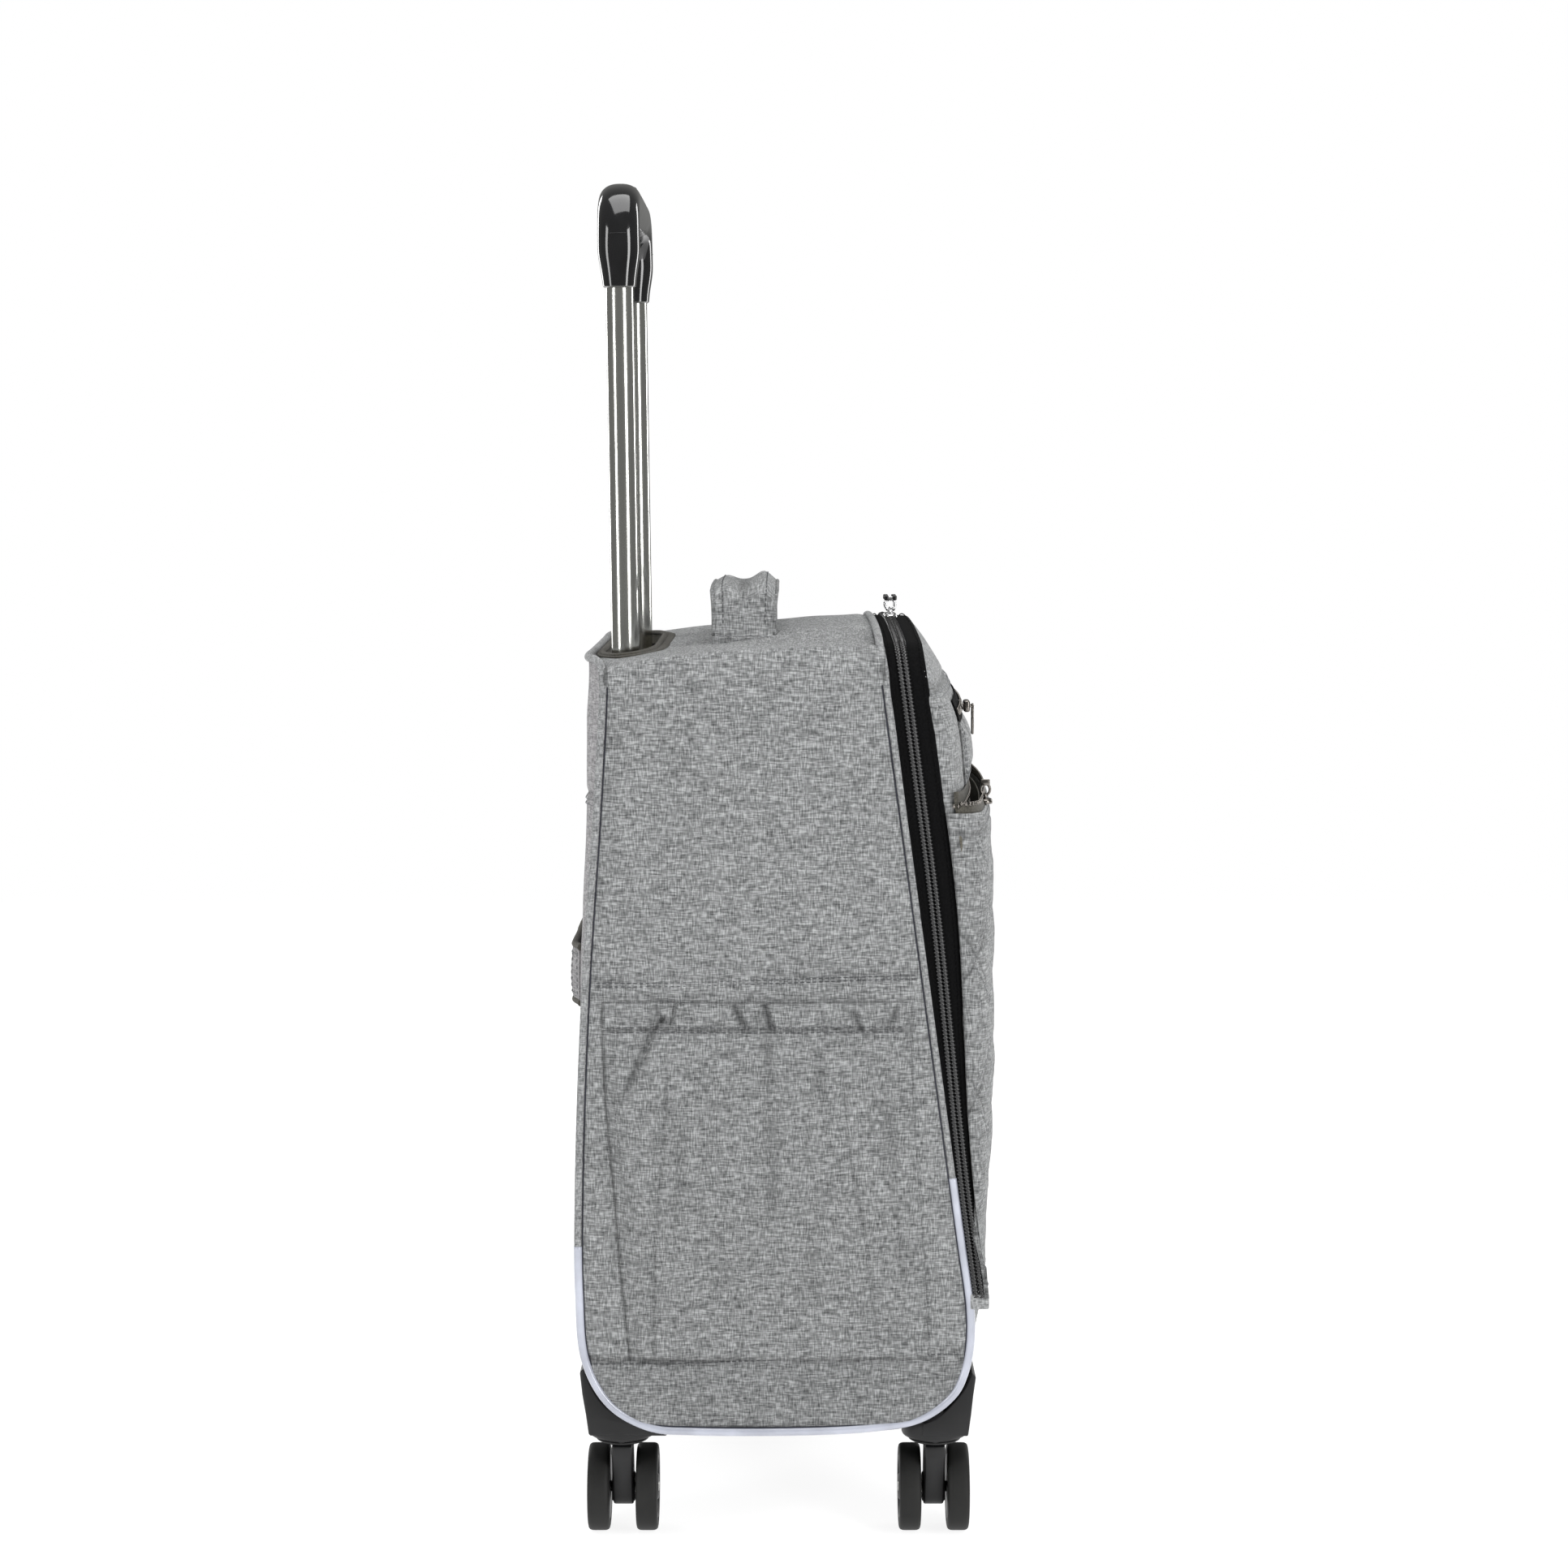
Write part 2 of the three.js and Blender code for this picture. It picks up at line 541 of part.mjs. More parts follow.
const TRAY_Z = [447, 501];
const trayFloor = 3;
const trayOuter = stadium(WELL.x + 2, wellRound + 2, wellCentreY, TRAY_Z[0], TRAY_Z[1]);
const trayInner = stadium(WELL.x, wellRound, wellCentreY, TRAY_Z[0] + trayFloor, TRAY_Z[1] + 5);
const tubeHoles = [-TUBE_X, TUBE_X].map((x) => rodZ(OUTER_R + 0.6, 430, 460, x, tubeY(448)));
add('handle_well_tray', cut(trayOuter, trayInner, ...tubeHoles), MATERIAL.plastic);
const LIP_Z = [505.9, 507.4];
add('well_zipper_lips', cut(
  stadium(WELL.x + 1, wellRound + 1, wellCentreY, LIP_Z[0] + 3.2, LIP_Z[1] + 3.2),
  stadium(WELL.x - 5, wellRound - 1, wellCentreY, 500, 520),
), MATERIAL.tape);

const tubeProfile = (radius, z0, z1) => [
  [radius - TUBE_WALL, z0], [radius, z0], [radius, z1], [radius - TUBE_WALL, z1],
];
for (const [side, sign] of [['left', -1], ['right', 1]]) {
  const place = (mesh) => mesh.position.set(sign * TUBE_X, 0, 0);
  place(add(`${side}_outer_tube`, turned(tubeProfile(OUTER_R, ...OUTER_Z), 24), MATERIAL.steel, handle));
  place(add(`${side}_middle_tube`, turned(tubeProfile(MIDDLE_R, ...MIDDLE_Z), 24), MATERIAL.steel, handle));
  place(add(`${side}_inner_tube`, turned(tubeProfile(INNER_R, ...INNER_Z), 24), MATERIAL.steel, handle));
}
const footHoles = [-TUBE_X, TUBE_X].map((x) => rodZ(OUTER_R + 0.5, 60, 120, x, tubeY(97)));
add('tube_foot_bracket', cut(box(-108, 108, 74, 102, 88, 104), ...footHoles), MATERIAL.plastic);

// Grip: a padded bar that turns down onto both tubes, hollow where the release parts run.
const GRIP_HALF = 12.1; // half its depth, front to back
const gripPath = new THREE.CatmullRomCurve3([
  [-TUBE_X, GRIP_Z[0]], [-TUBE_X, 728], [-TUBE_X, 742], [-84, 755.5], [-70, 761.4], [-40, 762.3], [0, 762.5],
  [40, 762.3], [70, 761.4], [84, 755.5], [TUBE_X, 742], [TUBE_X, 728], [TUBE_X, GRIP_Z[0]],
].map(([x, z]) => new THREE.Vector3(x, 0, z)), false, 'centripetal');
function gripSection(u) {
  const arm = Math.abs(2 * u - 1);
  const taper = 1 - 0.22 * smooth(arm, 0.82, 1);
  return { half: GRIP_HALF * taper, thick: 11 * (1 - 0.1 * smooth(arm, 0.85, 1)) };
}
function sweptBar(path, steps, sides, sectionAt) {
  const positions = [];
  const indices = [];
  for (let i = 0; i <= steps; i += 1) {
    const u = i / steps;
    const at = path.getPointAt(u);
    const tangent = path.getTangentAt(u);
    const { half, thick } = sectionAt(u);
    for (let k = 0; k < sides; k += 1) {
      const angle = (2 * Math.PI * k) / sides;
      const out = thick * Math.sin(angle);
      positions.push(at.x - tangent.z * out, half * Math.cos(angle), at.z + tangent.x * out);
    }
  }
  const ring = (i, k) => i * sides + (k % sides);
  for (let i = 0; i < steps; i += 1) {
    for (let k = 0; k < sides; k += 1) {
      indices.push(ring(i, k), ring(i + 1, k), ring(i + 1, k + 1));
      indices.push(ring(i, k), ring(i + 1, k + 1), ring(i, k + 1));
    }
  }
  for (let k = 1; k < sides - 1; k += 1) {
    indices.push(0, k, k + 1);
    indices.push(ring(steps, 0), ring(steps, k + 1), ring(steps, k));
  }
  return closedSurface(positions, indices);
}
const BUTTON = { x: 20, y: 7.6, top: 775.6, floor: 757 };
const gripCuts = [
  box(-94, 94, -3.4, 3.4, 752.5, 761.4),
  box(-BUTTON.x - 0.6, BUTTON.x + 0.6, -BUTTON.y - 0.6, BUTTON.y + 0.6, BUTTON.floor, 790),
];
for (const x of [-TUBE_X, TUBE_X]) {
  gripCuts.push(rodZ(INNER_R + 0.3, 700, INNER_Z[1] + 0.6, x, 0));
  gripCuts.push(rodZ(3.4, 720, 756, x, 0, 12));
}
add('grip', cut(sweptBar(gripPath, 26, 12, gripSection), ...gripCuts), MATERIAL.gloss, handle);

// Release: the button sits on a yoke whose two rods run down inside the inner tubes.
function buttonGeometry() {
  const shape = new THREE.Shape();
  const [x, y] = [BUTTON.x, BUTTON.y];
  shape.absarc(x - y, 0, y, -Math.PI / 2, Math.PI / 2, false);
  shape.absarc(-x + y, 0, y, Math.PI / 2, (3 * Math.PI) / 2, false);
  const body = new THREE.ExtrudeGeometry(shape, { depth: 13.6, bevelEnabled: false, curveSegments: 8 });
  return body.translate(0, 0, BUTTON.top - 13.6);
}
add('release_button', buttonGeometry(), MATERIAL.gloss, handle);
add('release_yoke', joined(
  box(-92.5, 92.5, -2.4, 2.4, 757.4, 760.4),
  rodZ(2.2, 356, 758.5, -TUBE_X, 0, 10),
  rodZ(2.2, 356, 758.5, TUBE_X, 0, 10),
), MATERIAL.steel, handle);

// ---- casters ------------------------------------------------------------------------------
const DRUM_R = 19;
const HOUSING_HALF = 19; // half the width of a caster's corner guard
const STUD_R = 5;
const STUD_TOP = 66;
// The corner guard's outline, [y outwards from the caster's middle, z], outside the base curve.
function housing(centreY, outward) {
  const guard = [];
  const span = outward > 0 ? [5.25, 7.6] : [9.6, 12];
  for (let i = 0; i <= 10; i += 1) {
    const [, y, z] = wallPoint(CASTER_X - HOUSING_HALF, lerp(span[0], span[1], i / 10), -0.7);
    guard.push([y, z]);
  }
  if (outward < 0) guard.reverse();
  const rimZ = guard[0][1];
  const outerY = guard[0][0] + (outward > 0 ? 3.2 : 2.4) * outward;
  const lastY = guard[guard.length - 1][0];
  const edge = centreY + outward * (DRUM_R - 0.6);
  guard.push([lastY, DRUM_Z + 4.6], [edge, DRUM_Z + 4.6], [edge + outward * 1.6, 76]);
  guard.push([outerY - outward * 1.4, 88], [outerY, rimZ - 3]);
  const block = prism(guard, -HOUSING_HALF, HOUSING_HALF, 'x');
  const drum = rodZ(DRUM_R, DRUM_Z, DRUM_Z + 7, 0, centreY, 32);
  const bore = rodZ(STUD_R + 0.4, 40, STUD_TOP + 1, 0, centreY, 20);
  return cut(joined(block, drum), bore);
}
// A caster turns about its stud; its wheels trail behind on one axle.
function forkGeometry() {
  const legHalf = 5.8;
  const leg = prism([
    [-11, 55.5], [11, 55.5], [14, 50], [TRAIL + 10.2, 25], [TRAIL + 7, 17.8], [TRAIL, 14.8],
    [TRAIL - 7, 17.8], [TRAIL - 10.2, 25], [-7, 40],
  ], -legHalf, legHalf, 'y');
  const disc = rodZ(15, 55, DRUM_Z - GAP, 0, 0, 28);
  const stud = rodZ(STUD_R, 55, STUD_TOP, 0, 0, 16);
  const axle = rodY(3, -WHEEL_OFFSET - WHEEL_W / 2, WHEEL_OFFSET + WHEEL_W / 2, TRAIL, WHEEL_R, 12);
  const barrel = rodY(8.6, -6.6, 6.6, TRAIL, WHEEL_R, 18);
  return joined(leg, disc, stud, axle, barrel);
}
// The tread is faceted with one facet flat on the floor, WHEEL_R below the axle.
const WHEEL_SIDES = 22;
const treadR = WHEEL_R / Math.cos(Math.PI / WHEEL_SIDES);
const wheelProfile = [
  [3.4, -WHEEL_W / 2], [17, -WHEEL_W / 2], [22.6, -WHEEL_W / 2 + 0.4], [treadR, -WHEEL_W / 2 + 3],
  [treadR, WHEEL_W / 2 - 3], [22.6, WHEEL_W / 2 - 0.4], [17, WHEEL_W / 2], [3.4, WHEEL_W / 2],
];
const wheelGeometry = () => turned(wheelProfile, WHEEL_SIDES).rotateZ(Math.PI / WHEEL_SIDES);
const CASTERS = [
  { name: 'left_rear', x: -1, y: REAR_CASTER_Y, outward: 1, turn: 0 },
  { name: 'left_front', x: -1, y: FRONT_CASTER_Y, outward: -1, turn: 0 },
  { name: 'right_rear', x: 1, y: REAR_CASTER_Y, outward: 1, turn: -Math.PI / 2 },
  { name: 'right_front', x: 1, y: FRONT_CASTER_Y, outward: -1, turn: Math.PI / 2 },
];
for (const { name, x, y, outward, turn } of CASTERS) {
  const shell = add(`${name}_caster_housing`, housing(y, outward), MATERIAL.plastic);
  shell.position.x = x * CASTER_X;
  const caster = new THREE.Group();
  caster.position.set(x * CASTER_X, y, 0);
  caster.rotation.z = turn;
  suitcase.add(caster);
  add(`${name}_caster_fork`, forkGeometry(), MATERIAL.plastic, caster);
  for (const [label, sign] of [['a', -1], ['b', 1]]) {
    const wheel = add(`${name}_wheel_${label}`, wheelGeometry(), MATERIAL.tyre, caster);
    wheel.rotation.x = Math.PI / 2;
    wheel.position.set(TRAIL, sign * (WHEEL_OFFSET + WHEEL_PLAY), WHEEL_R);
  }
}

// ---- zipper sliders -----------------------------------------------------------------------
const RIM_TOP_Z = rimPoint(0.5)[1];
function sliderBody(x, y, z) {
  return joined(
    box(x - 7, x + 7, y - 4.6, y + 4.6, z, z + 2.4),
    box(x - 4, x + 4, y - 2, y + 2, z + 2, z + 4.6),
  );
}
function pullTab(x, y, z) {
  const ring = box(x - 1, x + 1, y - 2.6, y + 2.6, z, z + 9);
  const hole = box(x - 3, x + 3, y - 1.2, y + 1.2, z + 1.4, z + 4.4);
  return cut(ring, hole);
}
const SLIDER_X = 9; // each side of the middle, where the two sliders meet when shut
const SLIDER_Y = coilY(517);
const SLIDER_Z = RIM_TOP_Z + GAP;
for (const [side, sign] of [['left', -1], ['right', 1]]) {
  add(`${side}_main_slider`, sliderBody(sign * SLIDER_X, SLIDER_Y, SLIDER_Z), MATERIAL.chrome);
  add(`${side}_main_pull`, pullTab(sign * SLIDER_X, SLIDER_Y, SLIDER_Z + 5), MATERIAL.chrome);
}
const POCKET_SLIDER = { x: -120, z: POCKET_TOP + GAP };
const pocketRimY = pocketFace(POCKET_TOP) + bow(POCKET_SLIDER.x, BOW * 2) + 1;
add('lower_pocket_slider', sliderBody(POCKET_SLIDER.x, pocketRimY, POCKET_SLIDER.z), MATERIAL.gunmetal);
add('lower_pocket_pull', pullTab(POCKET_SLIDER.x, pocketRimY, POCKET_SLIDER.z + 5), MATERIAL.gunmetal);
// The upper pocket's slider runs straight across, just clear of the fullest part of the lid.
const UPPER_SLIDER = { x: -90, z: 476 };
function upperSliderGeometry({ x, z }) {
  const y = lidFaceAt(0, z) - 0.5;
  return joined(
    box(x - 6, x + 6, y - 4, y, z - 3, z + 3),
    box(x - 1.5, x + 1.5, y - 8.6, y - 3.5, z - 1, z + 1),
    box(x - 1.5, x + 1.5, y - 8.6, y - 7.2, z - 16, z + 1),
  );
}
add('upper_pocket_slider', upperSliderGeometry(UPPER_SLIDER), MATERIAL.gunmetal);

export default suitcase;
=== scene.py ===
"""Looks of a softside upright suitcase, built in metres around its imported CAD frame.

X runs across the case, -Y is the lid side, +Y the trolley handle side, Z is up.
The plain CAD solids are replaced by sewn fabric, zippers, moulded plastic and polished steel.
"""
import math

import bmesh
import bpy
import numpy as np
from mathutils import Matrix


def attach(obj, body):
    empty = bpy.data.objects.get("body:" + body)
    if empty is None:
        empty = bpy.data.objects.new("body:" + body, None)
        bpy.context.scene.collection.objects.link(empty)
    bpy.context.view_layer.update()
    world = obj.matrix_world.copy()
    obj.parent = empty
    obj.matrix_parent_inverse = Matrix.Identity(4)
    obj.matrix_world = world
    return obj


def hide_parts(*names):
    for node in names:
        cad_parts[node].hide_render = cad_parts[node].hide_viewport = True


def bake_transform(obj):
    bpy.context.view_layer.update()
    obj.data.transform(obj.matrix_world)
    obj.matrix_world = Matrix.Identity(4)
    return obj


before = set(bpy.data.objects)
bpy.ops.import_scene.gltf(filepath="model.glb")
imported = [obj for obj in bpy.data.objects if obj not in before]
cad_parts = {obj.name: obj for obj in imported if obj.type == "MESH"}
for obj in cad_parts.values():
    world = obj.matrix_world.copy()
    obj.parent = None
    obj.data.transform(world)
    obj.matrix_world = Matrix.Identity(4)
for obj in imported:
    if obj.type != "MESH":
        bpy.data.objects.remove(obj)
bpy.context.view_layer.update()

MM = 0.001  # shapes are written in millimetres, and materials in metres
SIDES = (("left", -1), ("right", 1))
# Centres that cloth looks away from. Their fourth number tells them from directions.
CASE_CENTRE, LID_CENTRE = (0, 0, 290, 0), (0, -60, 330, 0)
POCKET_CENTRE, MOUTH_CENTRE = (0, -60, 280, 0), (0, -60, 400, 0)
CLOTH, THIN = 2.2, 0.5  # thickness of the padded outer cloth and of a lining


# ---- small maths ---------------------------------------------------------------------------
def smooth(value, low, high):
    """0 below low, 1 above high, and a smooth step between."""
    t = np.clip((np.asarray(value, float) - low) / (high - low), 0, 1)
    return t * t * (3 - 2 * t)


def mix(a, b, share):
    return a + (b - a) * share


def hashed(i, j, seed):
    value = np.sin(i * 127.1 + j * 311.7 + seed * 74.7) * 43758.5453
    return value - np.floor(value)


def ripple(a, b, seed=0):
    """Smooth noise from -1 to 1 over the plane, one bump per unit."""
    a, b = np.asarray(a, float), np.asarray(b, float)
    i, j = np.floor(a), np.floor(b)
    u, v = a - i, b - j
    u, v = u * u * (3 - 2 * u), v * v * (3 - 2 * v)
    low = mix(hashed(i, j, seed), hashed(i + 1, j, seed), u)
    high = mix(hashed(i, j + 1, seed), hashed(i + 1, j + 1, seed), u)
    return 2 * mix(low, high, v) - 1


def folds(a, b, seed=0):
    return ripple(a, b, seed) + 0.5 * ripple(a * 2.1, b * 2.1, seed + 7)


class Curve:
    """A smooth curve through points; t runs from 0 at the first point to 1 at the last."""

    def __init__(self, points):
        self.points = np.array(points, float)
        self.count = len(points) - 1

    def at(self, t):
        t = np.clip(np.asarray(t, float), 0, 1) * self.count
        i = np.minimum(t.astype(int), self.count - 1)
        w = (t - i)[..., None]
        p = self.points
        p1, p2 = p[i], p[i + 1]
        p0 = np.where((i > 0)[..., None], p[np.maximum(i - 1, 0)], 2 * p1 - p2)
        last = (i + 2 <= self.count)[..., None]
        p3 = np.where(last, p[np.minimum(i + 2, self.count)], 2 * p2 - p1)
        d1, d0, d2 = (np.sqrt(np.linalg.norm(q - r, axis=-1, keepdims=True)) + 1e-9
                      for q, r in ((p2, p1), (p1, p0), (p3, p2)))
        m1 = ((p1 - p0) / d0 - (p2 - p0) / (d0 + d1) + (p2 - p1) / d1) * d1
        m2 = ((p2 - p1) / d1 - (p3 - p1) / (d1 + d2) + (p3 - p2) / d2) * d1
        c2 = -3 * p1 + 3 * p2 - 2 * m1 - m2
        c3 = 2 * p1 - 2 * p2 + m1 + m2
        return p1 + m1 * w + c2 * w ** 2 + c3 * w ** 3

    def even(self, count):
        """Points at even spacing along the curve."""
        dense = self.at(np.linspace(0, 1, 40 * self.count + 1))
        return resample(dense, count)


def resample_like(points, values, count):
    """Values given at a line's points, read at even spacing along the line."""
    points, values = np.asarray(points, float), np.asarray(values, float)
    lengths = np.concatenate([[0], np.cumsum(np.linalg.norm(np.diff(points, axis=0), axis=1))])
    where = np.linspace(0, lengths[-1], count)
    return np.stack([np.interp(where, lengths, values[:, k]) for k in range(values.shape[1])], axis=1)


def resample(points, count):
    return resample_like(points, points, count)


def normals_at(points, normal, count):
    """Normals at even spacing along a line that has one normal, or one for each point."""
    return resample_like(points, np.broadcast_to(np.asarray(normal, float), np.shape(points)), count)


def length_of(points):
    return float(np.linalg.norm(np.diff(np.asarray(points, float), axis=0), axis=1).sum())


# ---- material nodes ------------------------------------------------------------------------
class Nodes:
    """A short way to write a material's node graph."""

    def __init__(self, name):
        self.material = bpy.data.materials.new(name)
        self.material.use_nodes = True
        self.tree = self.material.node_tree
        self.shader = self.tree.nodes["Principled BSDF"]

    def node(self, kind, inputs=None, **settings):
        made = self.tree.nodes.new("ShaderNode" + kind)
        for key, value in settings.items():
            setattr(made, key, value)
        for key, value in (inputs or {}).items():
            self.put(made.inputs[key], value)
        return made

    def put(self, socket, value):
        if hasattr(value, "is_output"):
            self.tree.links.new(value, socket)
        else:
            socket.default_value = value

    def math(self, operation, a, b=0.0, c=0.0):
        made = self.node("Math", {0: a, 1: b, 2: c}, operation=operation)
        return made.outputs[0]

    def vector(self, x, y, z=0.0):
        return self.node("CombineXYZ", {"X": x, "Y": y, "Z": z}).outputs[0]

    def noise(self, vector, scale, detail=2.0, rough=0.5):
        inputs = {"Vector": vector, "Scale": scale, "Detail": detail, "Roughness": rough}
        return self.node("TexNoise", inputs).outputs["Fac"]

    def colour_mix(self, share, a, b, blend="MIX"):
        made = self.node("Mix", data_type="RGBA", blend_type=blend)
        for index, value in ((0, share), (6, a), (7, b)):
            self.put(made.inputs[index], value)
        return made.outputs[2]

    def ramp(self, value, stops):
        made = self.node("ValToRGB", {"Fac": value})
        ramp = made.color_ramp
        while len(ramp.elements) < len(stops):
            ramp.elements.new(0.5)
        for element, (place, colour) in zip(ramp.elements, stops):
            element.position = place
            element.color = (*colour, 1)
        return made.outputs["Color"]

    def bump(self, height, distance, strength=1.0, normal=None):
        inputs = {"Height": height, "Distance": distance, "Strength": strength}
        if normal is not None:
            inputs["Normal"] = normal
        return self.node("Bump", inputs).outputs["Normal"]

    def set(self, **values):
        for key, value in values.items():
            self.put(self.shader.inputs[key.replace("_", " ")], value)
        return self.material

    def place(self):
        """Object position, and the two in-surface coordinates of a cloth lying at any angle."""
        texture = self.node("TexCoord")
        at = self.node("SeparateXYZ", {0: texture.outputs["Object"]}).outputs
        facing = self.node("SeparateXYZ", {0: texture.outputs["Normal"]}).outputs
        size = [self.math("ABSOLUTE", facing[k]) for k in range(3)]
        on_side = self.math("GREATER_THAN", size[0], self.math("MAXIMUM", size[1], size[2]))
        on_top = self.math("GREATER_THAN", size[2], self.math("MAXIMUM", size[0], size[1]))
        u = self.node("Mix", {0: on_side, 2: at[0], 3: at[1]}).outputs[0]
        v = self.node("Mix", {0: on_top, 2: at[2], 3: at[1]}).outputs[0]
        return texture.outputs["Object"], u, v


def woven(name, dark, middle, light, pitch=0.46 * MM, streak=4.6 * MM, contrast=1.0, sheen=0.15):
    """Melange cloth: light and dark yarns crossing in a plain weave."""
    n = Nodes(name)
    place, u, v = n.place()
    yarn, run = 1 / (1.7 * pitch), 1 / streak
    warp = n.noise(n.vector(n.math("MULTIPLY", u, yarn), n.math("MULTIPLY", v, run), 3.1), 1, 1, 0.4)
    weft = n.noise(n.vector(n.math("MULTIPLY", u, run), n.math("MULTIPLY", v, yarn), 8.4), 1, 1, 0.4)
    turn = math.pi / pitch
    across = n.math("SINE", n.math("MULTIPLY", u, turn))
    down = n.math("SINE", n.math("MULTIPLY", v, turn))
    over = n.math("MULTIPLY_ADD", n.math("MULTIPLY", across, down), 0.22, 0.5)
    shade = n.node("Mix", {0: over, 2: warp, 3: weft}).outputs[0]
    blotch = n.noise(place, 60, 2)
    shade = n.math("MULTIPLY_ADD", n.math("SUBTRACT", blotch, 0.5), 0.05, shade)
    spread = 0.21 / contrast
    colour = n.ramp(shade, ((0.5 - spread, dark), (0.5, middle), (0.5 + spread, light)))
    # The shade attribute is painted shade: it darkens the cloth's colour where shade falls, in seams, folds
    # and hollows.
    painted_shade = n.node("Attribute", attribute_name="shade").outputs["Fac"]
    colour = n.colour_mix(1.0, colour, n.vector(painted_shade, painted_shade, painted_shade), "MULTIPLY")
    height = n.math("MULTIPLY", n.math("ABSOLUTE", across), n.math("ABSOLUTE", down))
    height = n.math("ADD", height, n.math("MULTIPLY", shade, 0.8))
    normal = n.bump(height, 0.16 * MM, 0.75)
    return n.set(Base_Color=colour, Roughness=0.88, Normal=normal, Sheen_Weight=sheen,
                 Sheen_Roughness=0.45, Specular_IOR_Level=0.25)


def ribbed(name, colour, pitch, depth, roughness=0.75, sheen=0.12, gloss=0.25):
    """Woven tape: fine ribs along its length."""
    n = Nodes(name)
    place, u, v = n.place()
    ribs = n.math("SINE", n.math("MULTIPLY", n.math("ADD", u, v), 2 * math.pi / pitch))
    cross = n.math("SINE", n.math("MULTIPLY", n.math("SUBTRACT", u, v), 2 * math.pi / pitch))
    weave = n.math("MULTIPLY", ribs, cross)
    grey = n.noise(place, 900, 2)
    lighter = tuple(min(1.0, 2.2 * c) for c in colour)
    tone = n.ramp(grey, ((0.35, colour), (0.75, lighter)))
    normal = n.bump(weave, depth, 0.8)
    return n.set(Base_Color=tone, Roughness=roughness, Normal=normal, Sheen_Weight=sheen,
                 Specular_IOR_Level=gloss)


def moulded(name, colour, roughness, grain=0.0, scale=2600, coat=0.0, gloss=0.5):
    """Moulded plastic or rubber, with a fine grain and slightly uneven gloss."""
    n = Nodes(name)
    place = n.node("TexCoord").outputs["Object"]
    fine = n.noise(place, scale, 3)
    broad = n.noise(place, 45, 3)
    rough = n.math("MULTIPLY_ADD", n.math("SUBTRACT", broad, 0.5), 0.12, roughness)
    lighter = tuple(min(1.0, 1.5 * c + 0.003) for c in colour)
    tone = n.ramp(broad, ((0.3, colour), (0.75, lighter)))
    settings = dict(Base_Color=tone, Roughness=rough, Coat_Weight=coat, Coat_Roughness=0.04,
                    Specular_IOR_Level=gloss)
    if grain:
        settings["Normal"] = n.bump(fine, grain, 0.6)
    return n.set(**settings)


def metal(name, colour, roughness, brushed=0.0):
    """Plated or polished metal; brushed gives faint lines along Z."""
    n = Nodes(name)
    place = n.node("TexCoord").outputs["Object"]
    at = n.node("SeparateXYZ", {0: place}).outputs
    lines = n.noise(n.vector(n.math("MULTIPLY", at[0], 3200), n.math("MULTIPLY", at[1], 3200),
                             n.math("MULTIPLY", at[2], 9)), 1, 2)
    smudge = n.noise(place, 30, 3)
    rough = n.math("MULTIPLY_ADD", n.math("SUBTRACT", smudge, 0.5), 0.10, roughness)
    settings = dict(Base_Color=(*colour, 1), Metallic=1.0, Roughness=rough)
    if brushed:
        settings["Normal"] = n.bump(lines, brushed, 0.5)
    return n.set(**settings)


def mesh_net(name, colour):
    """Open warp-knit net: small holes let the cloth behind show through."""
    n = Nodes(name)
    place, u, v = n.place()
    turn = 2 * math.pi / (2.4 * MM)
    holes = n.math("MULTIPLY", n.math("SINE", n.math("MULTIPLY", u, turn)),
                   n.math("SINE", n.math("MULTIPLY", v, turn)))
    solid = n.math("LESS_THAN", n.math("ABSOLUTE", holes), 0.42)
    return n.set(Base_Color=(*colour, 1), Roughness=0.7, Alpha=solid)


FABRIC = woven("heather_fabric", (0.058, 0.060, 0.061), (0.212, 0.217, 0.218), (0.46, 0.47, 0.472))
BACK_FABRIC = woven("heather_fabric_back", (0.08, 0.079, 0.082), (0.265, 0.26, 0.266), (0.50, 0.49, 0.50))
PIPING_FABRIC = woven("piping_fabric", (0.10, 0.103, 0.105), (0.275, 0.28, 0.283), (0.50, 0.51, 0.512),
                      streak=3 * MM)
LINING = woven("lining_cloth", (0.06, 0.055, 0.043), (0.115, 0.107, 0.083), (0.17, 0.16, 0.13),
               pitch=0.4 * MM, streak=2 * MM, sheen=0.35)
TAPE = ribbed("zipper_tape", (0.0026, 0.0026, 0.0028), 0.9 * MM, 0.10 * MM, sheen=0.01, gloss=0.06)
BINDING = ribbed("dark_binding", (0.045, 0.042, 0.034), 0.8 * MM, 0.12 * MM)
WEBBING = ribbed("strap_webbing", (0.02, 0.02, 0.021), 1.6 * MM, 0.25 * MM)
NYLON = moulded("coil_nylon", (0.007, 0.007, 0.0075), 0.22, gloss=0.8)
THREAD = moulded("seam_thread", (0.17, 0.175, 0.18), 0.7)
DARK_THREAD = moulded("seam_thread_dark", (0.05, 0.052, 0.055), 0.7)
SEAM_SHADOW = moulded("seam_shadow", (0.028, 0.029, 0.036), 0.85, gloss=0.1)
CLEAR_PIPING = moulded("pearl_piping", (0.33, 0.345, 0.40), 0.2, 0.1 * MM, 1500, coat=1.0)
GLOSS = moulded("gloss_black", (0.004, 0.004, 0.0045), 0.1, coat=0.6)
MATTE = moulded("matte_black", (0.0085, 0.0085, 0.009), 0.42, 0.05 * MM, gloss=0.32)
RUBBER = moulded("wheel_rubber", (0.010, 0.010, 0.0095), 0.6, 0.06 * MM, gloss=0.25)
STEEL = metal("polished_steel", (0.62, 0.62, 0.59), 0.15, 0.004 * MM)
CHROME = metal("chrome_plate", (0.78, 0.78, 0.79), 0.09)
GUNMETAL = metal("gunmetal_plate", (0.20, 0.185, 0.17), 0.22)
NET = mesh_net("mesh_net", (0.02, 0.02, 0.021))
